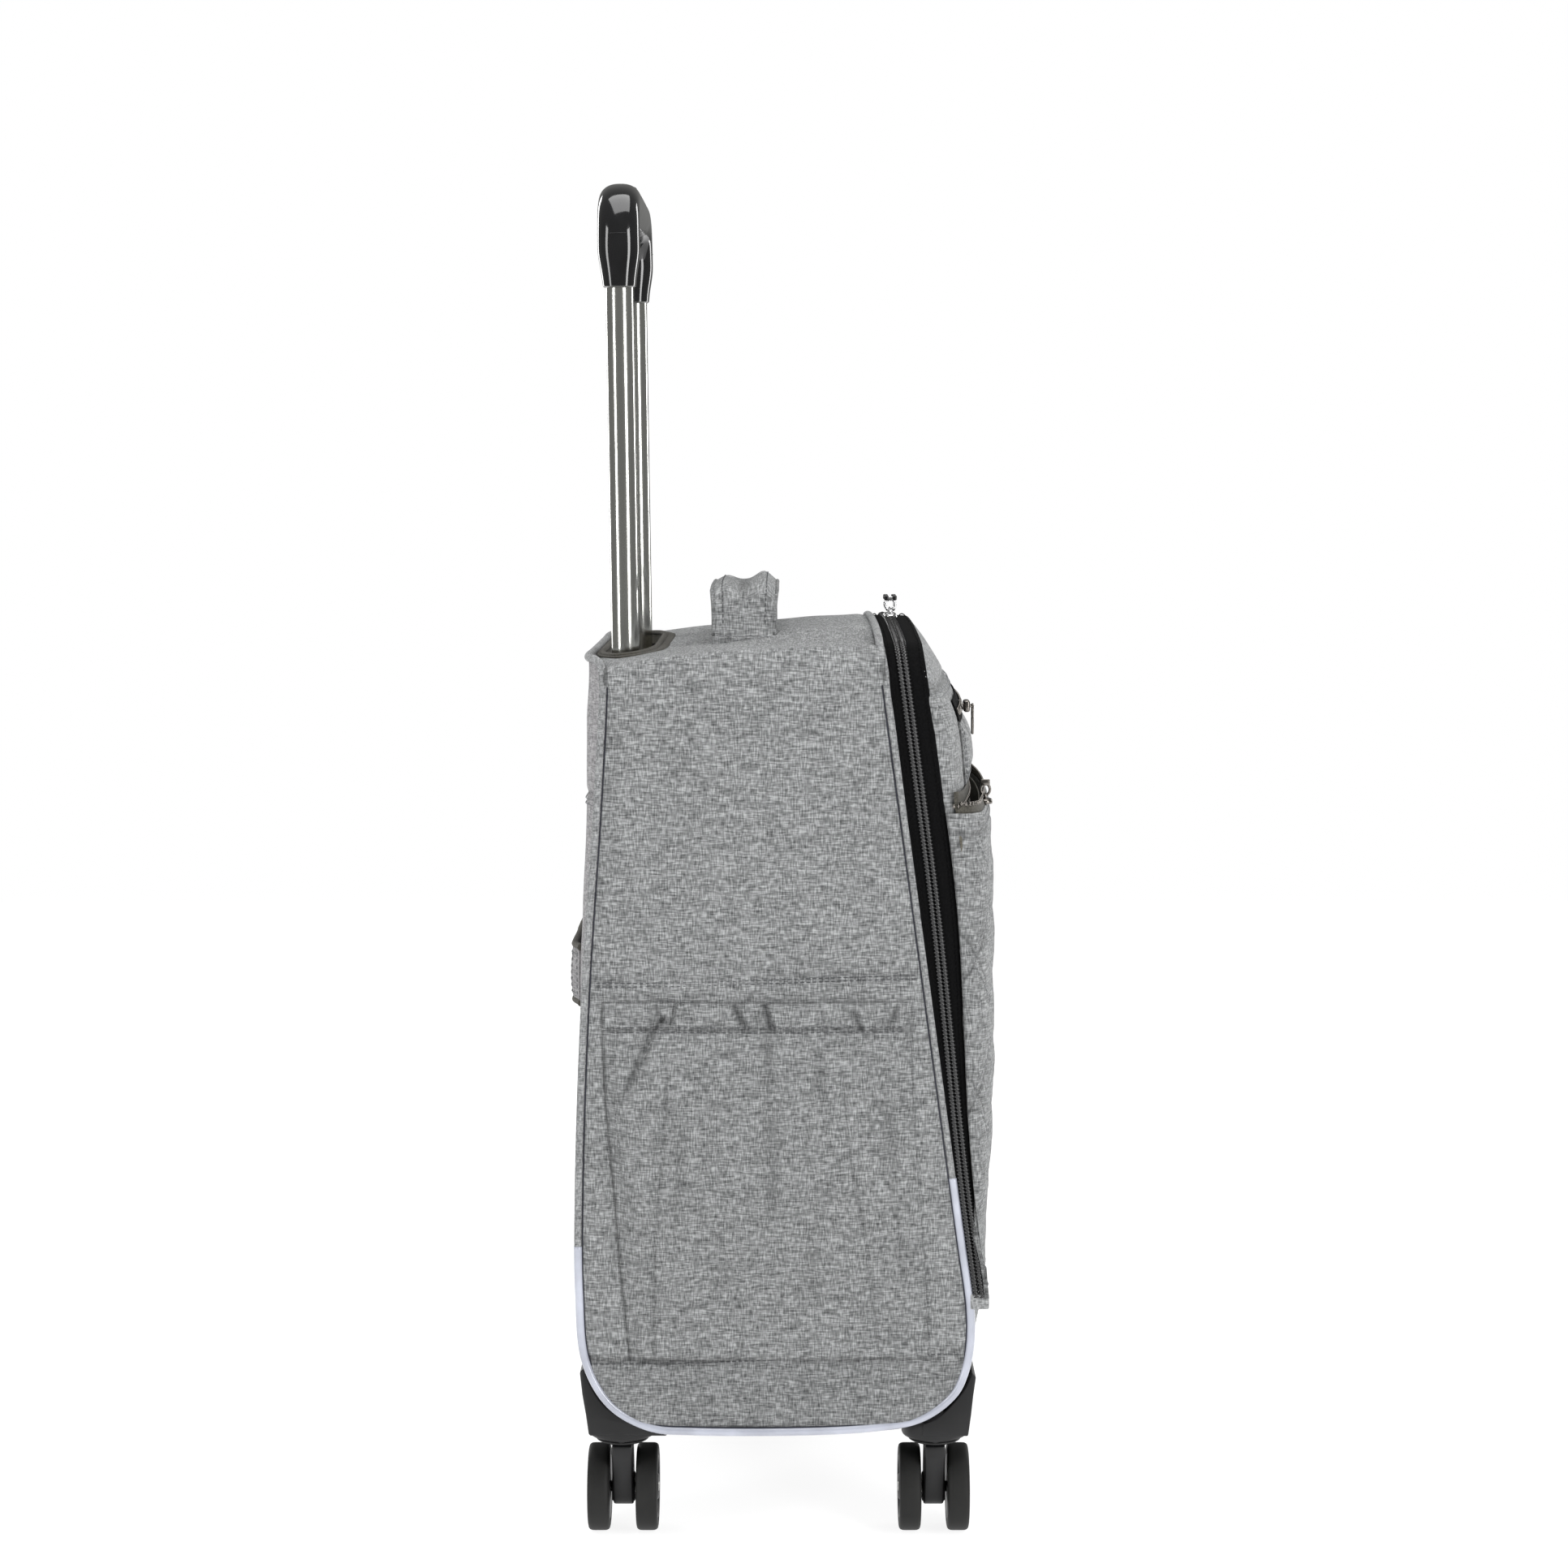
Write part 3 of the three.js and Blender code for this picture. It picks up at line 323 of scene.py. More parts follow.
SLOTS = {
    "woven_fabric": (FABRIC, BACK_FABRIC, PIPING_FABRIC, THREAD, DARK_THREAD, SEAM_SHADOW),
    "lining": (LINING, NET), "piping": (CLEAR_PIPING,),
    "zipper_tape": (TAPE, BINDING, WEBBING, NYLON), "gloss_black": (GLOSS,),
    "matte_black": (MATTE,), "tyre": (RUBBER,), "polished_steel": (STEEL,),
    "chrome": (CHROME,), "gunmetal": (GUNMETAL,),
}
SLOT_OF = {made.name: slot for slot, group in SLOTS.items() for made in group}


# ---- mesh building -------------------------------------------------------------------------
def finish_piece(obj, material, body, *stands_for):
    """Gives a finished object its material, its body and the CAD nodes that it stands for."""
    obj.data.materials.clear()
    obj.data.materials.append(material)
    if body is not None:
        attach(obj, body)
    if stands_for:
        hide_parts(*stands_for)
    return obj


def mesh_object(name, vertices, faces):
    """An object from millimetre vertices, smooth, with its faces turned outwards."""
    mesh = bpy.data.meshes.new(name)
    mesh.from_pydata([tuple(v) for v in np.asarray(vertices, float) * MM], [], [tuple(f) for f in faces])
    work = bmesh.new()
    work.from_mesh(mesh)
    bmesh.ops.recalc_face_normals(work, faces=work.faces)
    for face in work.faces:
        face.smooth = True
    work.to_mesh(mesh)
    work.free()
    obj = bpy.data.objects.new(name, mesh)
    bpy.context.scene.collection.objects.link(obj)
    return obj


def paint(obj, values):
    """Stores each vertex's painted shade, which darkens cloth in seams, folds and other places where shade
    falls.
    """
    layer = obj.data.attributes.new("shade", "FLOAT", "POINT")
    layer.data.foreach_set("value", np.asarray(values, np.float32).ravel())


def grid_faces(rows, columns, wrap=False):
    """Faces of a grid of vertices, rows by columns, numbered row by row."""
    i, j = np.meshgrid(np.arange(rows - 1), np.arange(columns - (0 if wrap else 1)), indexing="ij")
    k = (j + 1) % columns
    quads = np.stack([i * columns + j, (i + 1) * columns + j, (i + 1) * columns + k, i * columns + k], -1)
    return quads.reshape(-1, 4)


def closing_faces(rows, columns):
    """Faces between the last and the first ring of a wrapped grid."""
    last = (rows - 1) * columns
    return [(last + k, k, (k + 1) % columns, last + (k + 1) % columns) for k in range(columns)]


def normals_of(points):
    across = np.gradient(points, axis=0)
    along = np.gradient(points, axis=1)
    normal = np.cross(across, along)
    return normal / (np.linalg.norm(normal, axis=-1, keepdims=True) + 1e-12)


def cloth(name, points, thickness, outwards, material, body, *stands_for, shade=None, hole=None):
    """A layer of cloth from a grid of outer points, thickened away from the outwards side.

    outwards is a direction that the outer face roughly looks in, or a centre to look away from.
    """
    rows, columns = points.shape[:2]
    normal = normals_of(points)
    if len(outwards) == 4:
        look = points - np.array(outwards[:3])
    else:
        look = np.broadcast_to(np.array(outwards, float), points.shape)
    if (normal * look).sum() < 0:
        normal = -normal
    inner = points - normal * thickness
    vertices = np.concatenate([points.reshape(-1, 3), inner.reshape(-1, 3)])
    count = rows * columns
    faces = grid_faces(rows, columns)
    keep = np.ones(len(faces), bool)
    if hole is not None:
        vertices[:count], vertices[count:], keep = hole(vertices[:count], vertices[count:], faces)
        faces = faces[keep]
    edges = {}
    for face in faces:
        for a, b in zip(face, np.roll(face, -1)):
            edges[(a, b)] = edges.get((b, a), 0) + 1
            if (b, a) in edges:
                edges.pop((a, b))
                edges.pop((b, a))
    rim = [(a, b, b + count, a + count) for a, b in edges]
    obj = mesh_object(name, vertices, [*faces, *(faces[:, ::-1] + count), *rim])
    values = np.ones(count) if shade is None else np.asarray(shade, float).reshape(-1)
    # The inner face gets painted shade: 0.8 of the outer face's shade.
    paint(obj, np.concatenate([values, values * 0.8]))
    return finish_piece(obj, material, body, *stands_for)


def frames_along(path, up):
    """Sideways and upward directions at each point of a path, kept near the given up."""
    tangent = np.gradient(path, axis=0)
    tangent /= np.linalg.norm(tangent, axis=1, keepdims=True) + 1e-12
    up = np.broadcast_to(np.asarray(up, float), path.shape)
    side = np.cross(tangent, up)
    side /= np.linalg.norm(side, axis=1, keepdims=True) + 1e-12
    return side, np.cross(side, tangent)


def swept(path, section, up=(0, 0, 1), closed=False, scale=None):
    """A closed tube: section is a ring of [side, up] offsets carried along the path."""
    path = np.asarray(path, float)
    section = np.asarray(section, float)
    side, rise = frames_along(path, up)
    sizes = np.ones((len(path), 2)) if scale is None else np.asarray(scale, float)
    ring = (path[:, None] + side[:, None] * section[None, :, :1] * sizes[:, None, :1]
            + rise[:, None] * section[None, :, 1:] * sizes[:, None, 1:])
    rows, columns = ring.shape[:2]
    faces = list(grid_faces(rows, columns, wrap=True))
    if closed:
        faces += closing_faces(rows, columns)
    else:
        faces += [tuple(range(columns))[::-1], tuple(range((rows - 1) * columns, rows * columns))]
    return ring.reshape(-1, 3), faces


def circle(radius, sides, squash=1.0):
    angle = np.linspace(0, 2 * math.pi, sides, endpoint=False)
    return np.stack([radius * np.cos(angle), radius * squash * np.sin(angle)], 1)


def joined_mesh(name, parts):
    """One object from several (vertices, faces) parts."""
    vertices, faces, start = [], [], 0
    for part_vertices, part_faces in parts:
        vertices.append(np.asarray(part_vertices, float))
        faces += [tuple(int(k) + start for k in face) for face in part_faces]
        start += len(part_vertices)
    return mesh_object(name, np.concatenate(vertices), faces)


def piece_of(name, parts, material, body, *stands_for):
    """A finished object made of several (vertices, faces) parts."""
    return finish_piece(joined_mesh(name, parts), material, body, *stands_for)


def cloth_part(name, parts, tone, material, body, *stands_for):
    """Like piece_of, for cloth: the shade is the same all over."""
    made = joined_mesh(name, parts)
    paint(made, np.full(len(made.data.vertices), tone))
    return finish_piece(made, material, body, *stands_for)


def turned(profile, sides):
    """(vertices, faces) of a closed [radius, height] profile turned about Z."""
    profile = np.asarray(profile, float)
    angle = np.linspace(0, 2 * math.pi, sides, endpoint=False)
    ring = np.stack([profile[None, :, 0] * np.cos(angle)[:, None],
                     profile[None, :, 0] * np.sin(angle)[:, None],
                     np.broadcast_to(profile[None, :, 1], (sides, len(profile)))], -1)
    columns = len(profile)
    faces = list(grid_faces(sides, columns, wrap=True)) + closing_faces(sides, columns)
    return ring.reshape(-1, 3), faces


def solid_turned(profile, sides):
    """Like turned, for a profile that starts and ends on the axis."""
    return turned([(max(r, 0.01), z) for r, z in profile], sides)


def rounded_box(low, high, radius, steps=4):
    """(vertices, faces) of a box with rounded edges, as a subdivided and inflated cube."""
    low, high = np.array(low, float), np.array(high, float)
    centre, half = (low + high) / 2, (high - low) / 2
    radius = min(radius, *(half * 0.999))
    core = half - radius
    work = bmesh.new()
    bmesh.ops.create_cube(work, size=2)
    bmesh.ops.subdivide_edges(work, edges=work.edges, cuts=2 * steps - 1, use_grid_fill=True)
    vertices = np.array([v.co for v in work.verts])
    faces = [[v.index for v in face.verts] for face in work.faces]
    work.free()
    angle = vertices * (math.pi / 4)
    cube = np.tan(angle) / math.tan(math.pi / 4)
    ball = cube / np.linalg.norm(cube, axis=1, keepdims=True)
    return centre + np.sign(vertices) * core * (np.abs(vertices) > 1e-6) + ball * radius, faces


def moved(part, offset=(0, 0, 0), turn=None):
    vertices = np.asarray(part[0], float)
    if turn is not None:
        vertices = vertices @ np.array(turn).T
    return vertices + np.array(offset, float), part[1]


def spin(axis, angle):
    c, s = math.cos(angle), math.sin(angle)
    if axis == "x":
        return [[1, 0, 0], [0, c, -s], [0, s, c]]
    if axis == "y":
        return [[c, 0, s], [0, 1, 0], [-s, 0, c]]
    return [[c, -s, 0], [s, c, 0], [0, 0, 1]]


def prism(outline, low, high, axis="y"):
    """(vertices, faces) of a flat outline of [a, b] points given depth along an axis."""
    outline = [tuple(p) for p in outline]
    order = {"x": (lambda a, b, d: (d, a, b)), "y": (lambda a, b, d: (a, d, b)),
             "z": (lambda a, b, d: (a, b, d))}[axis]
    count = len(outline)
    vertices = [order(a, b, low) for a, b in outline] + [order(a, b, high) for a, b in outline]
    faces = [tuple(range(count))[::-1], tuple(range(count, 2 * count))]
    faces += [(k, (k + 1) % count, (k + 1) % count + count, k + count) for k in range(count)]
    return np.array(vertices), faces


def bevelled(obj, width, segments, angle):
    """Rounds an object's sharper edges for good."""
    modifier = obj.modifiers.new("bevel", "BEVEL")
    modifier.width, modifier.segments = width * MM, segments
    modifier.limit_method = "ANGLE"
    modifier.angle_limit = math.radians(angle)
    modifier.harden_normals = False
    return settle(obj)


def stitches(name, lines, body, material=THREAD, pitch=3.4, length=2.3, radius=0.32):
    """Runs of short thread stitches; each line is (points, surface normals or one normal)."""
    parts = []
    for points, normal in lines:
        count = max(2, int(length_of(points) / pitch))
        spots = resample(points, 2 * count + 1)
        tangents = np.gradient(spots, axis=0)
        normals = normals_at(points, normal, 2 * count + 1)
        for k in range(1, 2 * count, 2):
            along = tangents[k] / (np.linalg.norm(tangents[k]) + 1e-12)
            rise = normals[k] / (np.linalg.norm(normals[k]) + 1e-12)
            reach = np.array([-0.5, -0.36, 0, 0.36, 0.5])[:, None] * length
            lift = np.array([-0.35, 0.5, 0.8, 0.5, -0.35])[:, None] * radius
            path = spots[k] + reach * along + lift * rise
            size = np.array([0.35, 0.9, 1, 0.9, 0.35])
            parts.append(swept(path, circle(radius, 5), rise, scale=np.stack([size, size], 1)))
    return piece_of(name, parts, material, body)


# ---- case outline, as in the CAD frame ------------------------------------------------------
SIDE_X, WALL_X, CORNER_X = 170, 164, 36
PIPING_X = 167
EDGE_OUTLINE = (
    (101.4, 501.5), (105.9, 423), (112.9, 322), (117.2, 215), (117.4, 150), (113.7, 110),
    (100, 85.3), (78, 72.6), (55, 70.3), (-45.7, 72.1), (-76, 78), (-93.7, 91.4),
    (-99.5, 103), (-103, 120), (-102.9, 142.3))
MIDDLE_OUTLINE = (
    (112.5, 501.5), (114, 423), (117.3, 322), (119, 215), (118.8, 150), (116.5, 112),
    (105, 84.5), (84, 71.5), (55, 69.8), (-60, 69.8), (-88, 74.5), (-102, 86),
    (-109, 100), (-115.5, 120), (-118.5, 142.3))
EDGE, MIDDLE = Curve(EDGE_OUTLINE), Curve(MIDDLE_OUTLINE)
LAST = EDGE.count
BASE_FROM, BASE_TO = 4.6, 11
FRONT_LOW, FRONT_HIGH = (-102.9, 142), (-51.3, 517.6)
TOP_EDGE = Curve(((98.5, 504.6), (60, 509.2), (5, 513), (-48, 514.6)))
TOP_MIDDLE = Curve(((109.4, 505.3), (60, 509.5), (5, 518.5), (-48, 523)))
LID_BOTTOM, LID_TOP, LID_X = 147, 521, 168.5
RIM_SIDE_TOP, RIM_CORNER, RIM_CROWN = 494, 22, 6
LID_FACE = (
    (147, -112.8), (175, -113.2), (220, -113.2), (300, -112.6), (400, -109.5), (440, -106),
    (470, -102.5), (487, -96), (501, -88.5), (512, -80.5), (520, -73.5))
POCKET_FACE = (
    (148, -115.8), (164, -118.2), (205, -122), (275, -124.2), (340, -123.4), (400, -121.8),
    (422, -119.4))
POCKET_FOOT, POCKET_TOP, POCKET_X = 148, 422, 171.1
TUBE_X, TUBE_Y, TUBE_LEAN = 90, 87.1, 0.0121
FRONT_FROM, BOW_POWER = 9, 2.2
BOW, BOW_X = 9.6, 155


def along(table, z):
    """A smooth curve through a table of (z, y) points, read at z."""
    dense = Curve(table).at(np.linspace(0, 1, 400))
    return np.interp(z, dense[:, 0], dense[:, 1])


def fullness(x, k=0.0):
    """How far a wall stands out: flat with rounded corners, but bowed all across the front."""
    bowed = 1 - np.minimum(1, np.abs(x) / WALL_X) ** BOW_POWER
    return mix(smooth(WALL_X - np.abs(x), 0, CORNER_X), bowed, smooth(k, FRONT_FROM, FRONT_FROM + 2))


def bow(x, depth):
    """How far the lid's front falls back at x, for a lid this deep."""
    return np.minimum(BOW, 0.75 * np.asarray(depth)) * (np.asarray(x) / BOW_X) ** 2


def lid_face(x, z):
    face = along(LID_FACE, z)
    return face + bow(x, rim_y(z) - face)


def wall_point(x, k, depth=0.0):
    """A point of the back, base or sill at outline place k, set in by depth."""
    x, k = np.broadcast_arrays(np.asarray(x, float), np.asarray(k, float))
    share = fullness(x, k)[..., None]
    step = 0.02

    def at(place):
        return mix(EDGE.at(place / LAST), MIDDLE.at(place / LAST), share)

    here = at(k)
    run = at(np.minimum(k + step, LAST)) - at(np.maximum(k - step, 0))
    run /= np.linalg.norm(run, axis=-1, keepdims=True)
    return np.stack([x, here[..., 0] + run[..., 1] * depth, here[..., 1] - run[..., 0] * depth], -1)


def front_edge_y(z):
    (y0, z0), (y1, z1) = FRONT_LOW, FRONT_HIGH
    return mix(y0, y1, (np.asarray(z, float) - z0) / (z1 - z0))


def widen(z, low, high):
    return mix(low, high, smooth(z, 190, 400))


def coil_y(z):
    return front_edge_y(z) - widen(z, 5.8, 10.5)


def rim_y(z):
    return coil_y(z) - widen(z, 3.2, 11.5)


def rear_edge_y(z):
    """The piping's line up the back edge, carried down round the base corner."""
    dense = EDGE.at(np.linspace(0, 8.0 / LAST, 400))[::-1]
    return np.interp(z, dense[:, 1], dense[:, 0])


def sill_edge_y(z):
    """The piping's line up the front edge, from the base corner to the top."""
    dense = EDGE.at(np.linspace(9.0 / LAST, 1, 300))
    low = np.interp(z, dense[:, 1], dense[:, 0])
    return np.where(np.asarray(z) < FRONT_LOW[1], low, front_edge_y(z))


# ---- hood: side panels and top, one cloth folded over the case -------------------------------
TOP_REAR = ((0, 112.6), (60, 112.6), (125, 112), (148, 106.8), (160, 103.4), (170, 101.6))
TOP_FRONT = ((0, -51), (140, -51), (158, -51.3), (166, -53.6), (170, -54.4))
HOOD_FOOT_Z, SIDE_TOP_Z = 71.9, 492  # the side's flat run, below the fold into the top
WELL_X, WELL_END_Y = 119, 92.5  # half length of the handle well's mouth, and y of its two ends


def top_height(x, y):
    """Height of the top panel, which is crowned from side to side."""
    share = smooth(SIDE_X - np.abs(x), 0, 110)
    edge = TOP_EDGE.at(np.linspace(0, 1, 200))[::-1]
    middle = TOP_MIDDLE.at(np.linspace(0, 1, 200))[::-1]
    return mix(np.interp(y, edge[:, 0], edge[:, 1]), np.interp(y, middle[:, 0], middle[:, 1]), share)


def well_front(x):
    """Front edge of the handle well's mouth, which is full in the middle and rounded at both ends."""
    reach = np.clip(1 - np.abs(np.asarray(x, float) / WELL_X) ** 5, 0, 1)
    return WELL_END_Y - 16.8 * reach ** 0.55


def well_rear(x):
    """Rear edge of the same mouth, flatter than the front."""
    reach = np.clip(1 - np.abs(np.asarray(x, float) / WELL_X) ** 8, 0, 1)
    return WELL_END_Y + 14.5 * reach ** 0.55


def hood_grid():
    """Rows run up the left side, across the top and down the right; columns back to front."""
    heights = np.concatenate([HOOD_FOOT_Z + 24 * np.linspace(0, 1, 9)[:-1] ** 1.6,
                              np.linspace(96, SIDE_TOP_Z, 100)])
    fold = np.linspace(0, 1, 9)[1:-1]
    flat = np.linspace(0, 1, 57)
    columns = np.concatenate([[0, 0.004, 0.010, 0.018, 0.028], np.linspace(0.04, 0.96, 75),
                              [0.972, 0.982, 0.990, 0.996, 1]])
    rows = []
    for z in heights:
        y = mix(rear_edge_y(z) - 0.6, sill_edge_y(z) + 0.6, columns)
        rows.append(np.stack([np.full_like(y, -SIDE_X), y, np.full_like(y, z)], -1))
    place = mix(rear_edge_y(SIDE_TOP_Z) - 0.6, sill_edge_y(SIDE_TOP_Z) + 0.6, columns)
    radius = 8 + 6 * smooth(-place, 10, 50) + 3 * smooth(place, 70, 100)
    for share in fold:
        x = -SIDE_X + radius * (1 - math.cos(share * math.pi / 2))
        top = top_height(x, place)
        z = mix(SIDE_TOP_Z, top, math.sin(share * math.pi / 2))
        rows.append(np.stack([x, place, z], -1))
    edge_x = -SIDE_X + radius
    for share in flat:
        x = edge_x * (1 - share)
        back = np.interp(np.abs(x), *np.array(TOP_REAR).T) - 0.4
        front = np.interp(np.abs(x), *np.array(TOP_FRONT).T) + 0.6
        y = mix(back, front, columns)
        y = mix(place, y, smooth(share, 0, 0.08))
        rows.append(np.stack([x, y, top_height(x, y)], -1))
    left = np.array(rows)
    right = left[::-1][1:] * np.array([-1, 1, 1])
    return np.concatenate([left, right]), columns


def hood():
    """The cloth of both sides and the top, with its lining."""
    points, columns = hood_grid()
    y, z = points[..., 1], points[..., 2]
    side = np.abs(points[..., 0]) > SIDE_X - 1e-6
    near_edge = np.minimum(y - sill_edge_y(z), rear_edge_y(z) - y)
    low = np.where(z < 140, z - HOOD_FOOT_Z, 100)
    near_edge = np.minimum(near_edge, low)
    tuck = (1 - smooth(near_edge, 0, 7)) * 2.6
    across = np.minimum(columns, 1 - columns)[None, :] * 150
    tuck_top = (1 - smooth(across, 0, 7)) * 1.6
    swell = 0.55 * folds(y / 55, z / 70, 3) + 0.25 * folds(y / 18, z / 26, 5)
    band_line, panel_line = seam_heights(y)
    seam = 1.2 * np.exp(-((z - band_line) / 1.6) ** 2) * side
    seam = seam + 0.45 * np.exp(-((z - panel_line) / 1.5) ** 2) * side
    band = smooth(z, band_line - 3, band_line + 1)
    offset = swell * smooth(near_edge, 2, 18) - tuck - 0.8 * seam + 0.5 * (1 - band) * side
    sign = np.sign(points[..., 0])
    points[..., 0] += np.where(side, sign * offset, 0)
    lift = 0.9 * folds(points[..., 0] / 60, y / 40, 9) - tuck_top
    points[..., 2] += np.where(side, 0, lift * (1 - smooth(np.abs(points[..., 0]), 160, 170)))
    # Painted shade: darker where the cloth tucks under the piping, along the seam grooves, and over the
    # side's lower band below the band seam.
    painted_edge_shade = 1 - 0.55 * (1 - smooth(np.where(side, near_edge, across), 0.2, 3.2))
    shade = painted_edge_shade * (1 - 0.36 * np.minimum(seam, 1.2)) * np.where(side, mix(0.86, 1, band), 1)
    cloth("hood", points, CLOTH, CASE_CENTRE, FABRIC, "case",
          "left_side_panel", "right_side_panel", "top_panel", shade=shade, hole=well_hole)
    lining = points - normals_outward(points, CASE_CENTRE[:3]) * 3.0
    cloth("hood_lining", lining, THIN, CASE_CENTRE, LINING, "case", hole=well_hole)
    return points


def normals_outward(points, centre):
    normal = normals_of(points)
    return normal if (normal * (points - np.array(centre))).sum() > 0 else -normal


def well_hole(outer, inner, faces):
    """Opens the handle well's mouth in the top, and draws the cut edge onto its outline."""
    x, y, z = outer.T
    inside = (np.abs(x) < WELL_X) & (y < well_rear(x)) & (y > well_front(x)) & (z > 495)
    keep = ~inside[faces].all(axis=1)
    rim = np.unique(faces[keep])
    rim = rim[inside[rim]]
    for k in rim:
        gap_rear = float(well_rear(x[k])) - y[k]
        gap_front = y[k] - float(well_front(x[k]))
        gap_end = WELL_X - abs(x[k])
        if gap_rear <= min(gap_front, gap_end * 0.6):
            shift = np.array([0, gap_rear, 0])
        elif gap_front <= gap_end * 1.5:
            shift = np.array([0, -gap_front, 0])
        else:
            shift = np.array([math.copysign(gap_end, x[k]), 0, 0])
        outer[k] += shift
        inner[k] += shift
    return outer, inner, keep


BAND_SEAM_Z = (112.5, 118.0)
PANEL_SEAM_Z = (329.0, 333.6)


def seam_heights(y):
    """Heights of the side's two long seams at y: both rise a little towards the front."""
    share = smooth(-np.asarray(y, float), -90, 95)
    return mix(*BAND_SEAM_Z, share), mix(*PANEL_SEAM_Z, share)


def on_side(y, z, proud=0.0, sign=-1):
    y = np.asarray(y, float)
    return np.stack([np.full_like(y, sign * (SIDE_X + proud)), y, np.broadcast_to(z, y.shape)], -1)


def side_stitching():
    """Topstitching under the side's two long seams."""
    lines = []
    for sign in (-1, 1):
        for which, drop in ((1, 2.2), (1, 4.2), (0, 2.6)):
            middle = float(seam_heights(0)[which])
            y = np.linspace(rear_edge_y(middle) - 5, sill_edge_y(middle) + 5, 60)
            lines.append((on_side(y, seam_heights(y)[which] - drop, 0.15, sign), (sign, 0, 0)))
    stitches("side_panel_stitching", lines, "case", DARK_THREAD)


# ---- back panel, base and front sill ---------------------------------------------------------
def across_wall(count, half=WALL_X + 1.6):
    s = np.linspace(-1, 1, count)
    return half * np.sign(s) * (1 - (1 - np.abs(s)) ** 1.5)


def wall_sheet(name, start, stop, rows, columns, thickness, material, node, relief=None, reach_up=None):
    """A wall of the case between two outline places; start may differ across the wall."""
    x = across_wall(columns)
    share = np.linspace(0, 1, rows)[:, None]
    k = mix(np.asarray(start(x))[None, :], stop, share)
    xx = np.broadcast_to(x, k.shape)
    depth = np.zeros_like(k)
    shade = np.ones_like(k)
    if relief is not None:
        depth, shade = relief(xx, k, wall_point(xx, k))
    points = wall_point(xx, k, depth)
    inner = wall_point(xx, k, depth + thickness + 0.5)  # the lining lies half a millimetre inside the cloth
    if reach_up is not None:
        points, inner = reach_up(points, 0.4), reach_up(inner, 2.6)
    cloth(name, points, thickness, CASE_CENTRE, material, "case", node, shade=shade)
    cloth(name + "_lining", inner, THIN, CASE_CENTRE, LINING, "case")
    return points


def to_top_piping(points, below):
    """Draws the head of the back cloth up to the piping that runs over the top corners."""
    x, y, z = np.moveaxis(points, -1, 0)
    line = Curve(PIPING_REAR).at(np.linspace(0, 1, 300))[::-1]
    goal_y = np.interp(np.abs(x[0]), line[:, 0], line[:, 1]) - 0.2
    goal_z = np.interp(np.abs(x[0]), line[:, 0], line[:, 2]) - below
    share = smooth(z, z[0] - 26, z[0] - 0.2)
    made = points.copy()
    made[..., 1] = y + (goal_y - y[0]) * share
    made[..., 2] = z + (goal_z - z[0]) * share
    return made


def back_relief(x, k, at):
    z = at[..., 2]
    edge = WALL_X + 1.6 - np.abs(x)
    swell = 0.8 * folds(x / 70, z / 80, 21) + 0.3 * folds(x / 20, z / 30, 22)
    seam = sum(np.exp(-((z - line) / 2.0) ** 2) for line in (BACK_SEAM_Z, BACK_LOWER_SEAM_Z))
    depth = -swell * smooth(edge, 2, 30) + 1.0 * seam
    # Painted shade: darker in the seam grooves and at the edges beside the piping.
    shade = (1 - 0.4 * seam) * (1 - 0.5 * (1 - smooth(edge, 0.5, 3.5)))
    return depth, shade


BACK_SEAM_Z, BACK_LOWER_SEAM_Z = 430, 128


def sill_relief(x, k, at):
    edge = WALL_X + 1.6 - np.abs(x)
    depth = -0.4 * folds(x / 40, at[..., 2] / 20, 31)
    # Painted shade: darker at the edges beside the piping.
    return depth, 1 - 0.5 * (1 - smooth(edge, 0.5, 3.5))


def base_relief(x, k, at):
    flat = smooth(k, 6.6, 7.2) * (1 - smooth(k, 9.6, 10.2))
    rib = np.zeros_like(x)
    for centre in (-105, -35, 35, 105):
        rib += smooth(7 - np.abs(x - centre), 0, 2.5)
    return -2.2 * rib * flat, np.ones_like(x)


def walls():
    """Back cloth, base shell and front sill, each with its lining."""
    back_start = lambda x: mix(0.24, 0.03, fullness(x))
    wall_sheet("back_cloth", back_start, BASE_FROM - 0.03, 120, 90, 2.2, BACK_FABRIC, "back_panel",
               back_relief, to_top_piping)
    wall_sheet("base_shell", lambda x: BASE_FROM + 0 * x, BASE_TO - 0.04, 90, 130, 2.4, MATTE,
               "base_tray", base_relief)
    wall_sheet("front_sill_cloth", lambda x: BASE_TO + 0 * x, LAST - 0.02, 26, 90, 2.2, FABRIC,
               "front_sill", sill_relief)
    lines = []
    x = np.linspace(-158, 158, 120)
    for z in (BACK_SEAM_Z - 3, BACK_SEAM_Z - 6, BACK_LOWER_SEAM_Z - 3):
        k = np.interp(z, MIDDLE.at(np.linspace(4.57 / LAST, 0, 200))[:, 1], np.linspace(4.57, 0, 200))
        lines.append((wall_point(x, k, -0.2), (0, 1, 0)))
    stitches("back_panel_stitching", lines, "case")


# ---- piping ------------------------------------------------------------------------------------
PIPING_TOP = ((0.3, -51, 521.9), (80, -51, 520.7), (140, -51.2, 516.9), (158, -51.6, 512.5),
              (166, -53.6, 502), (PIPING_X, -55.8, 485))
PIPING_REAR = ((PIPING_X, 102.6, 480), (166, 102.2, 494), (160, 103.6, 503), (148, 107, 505.8),
               (125, 112.4, 505.9), (60, 113, 505.9), (0.3, 113, 505.9))
PEARL_FRONT_Z, PEARL_REAR_Z = 217, 178


def piping_path(sign):
    points = list(PIPING_TOP)
    points += [(PIPING_X, float(front_edge_y(z)), z) for z in (400, 320, 240, 180)]
    points += [(PIPING_X, y, z) for y, z in EDGE_OUTLINE[::-1] if z < 480]
    points += list(PIPING_REAR)
    return Curve(points).even(900) * np.array([sign, 1, 1])


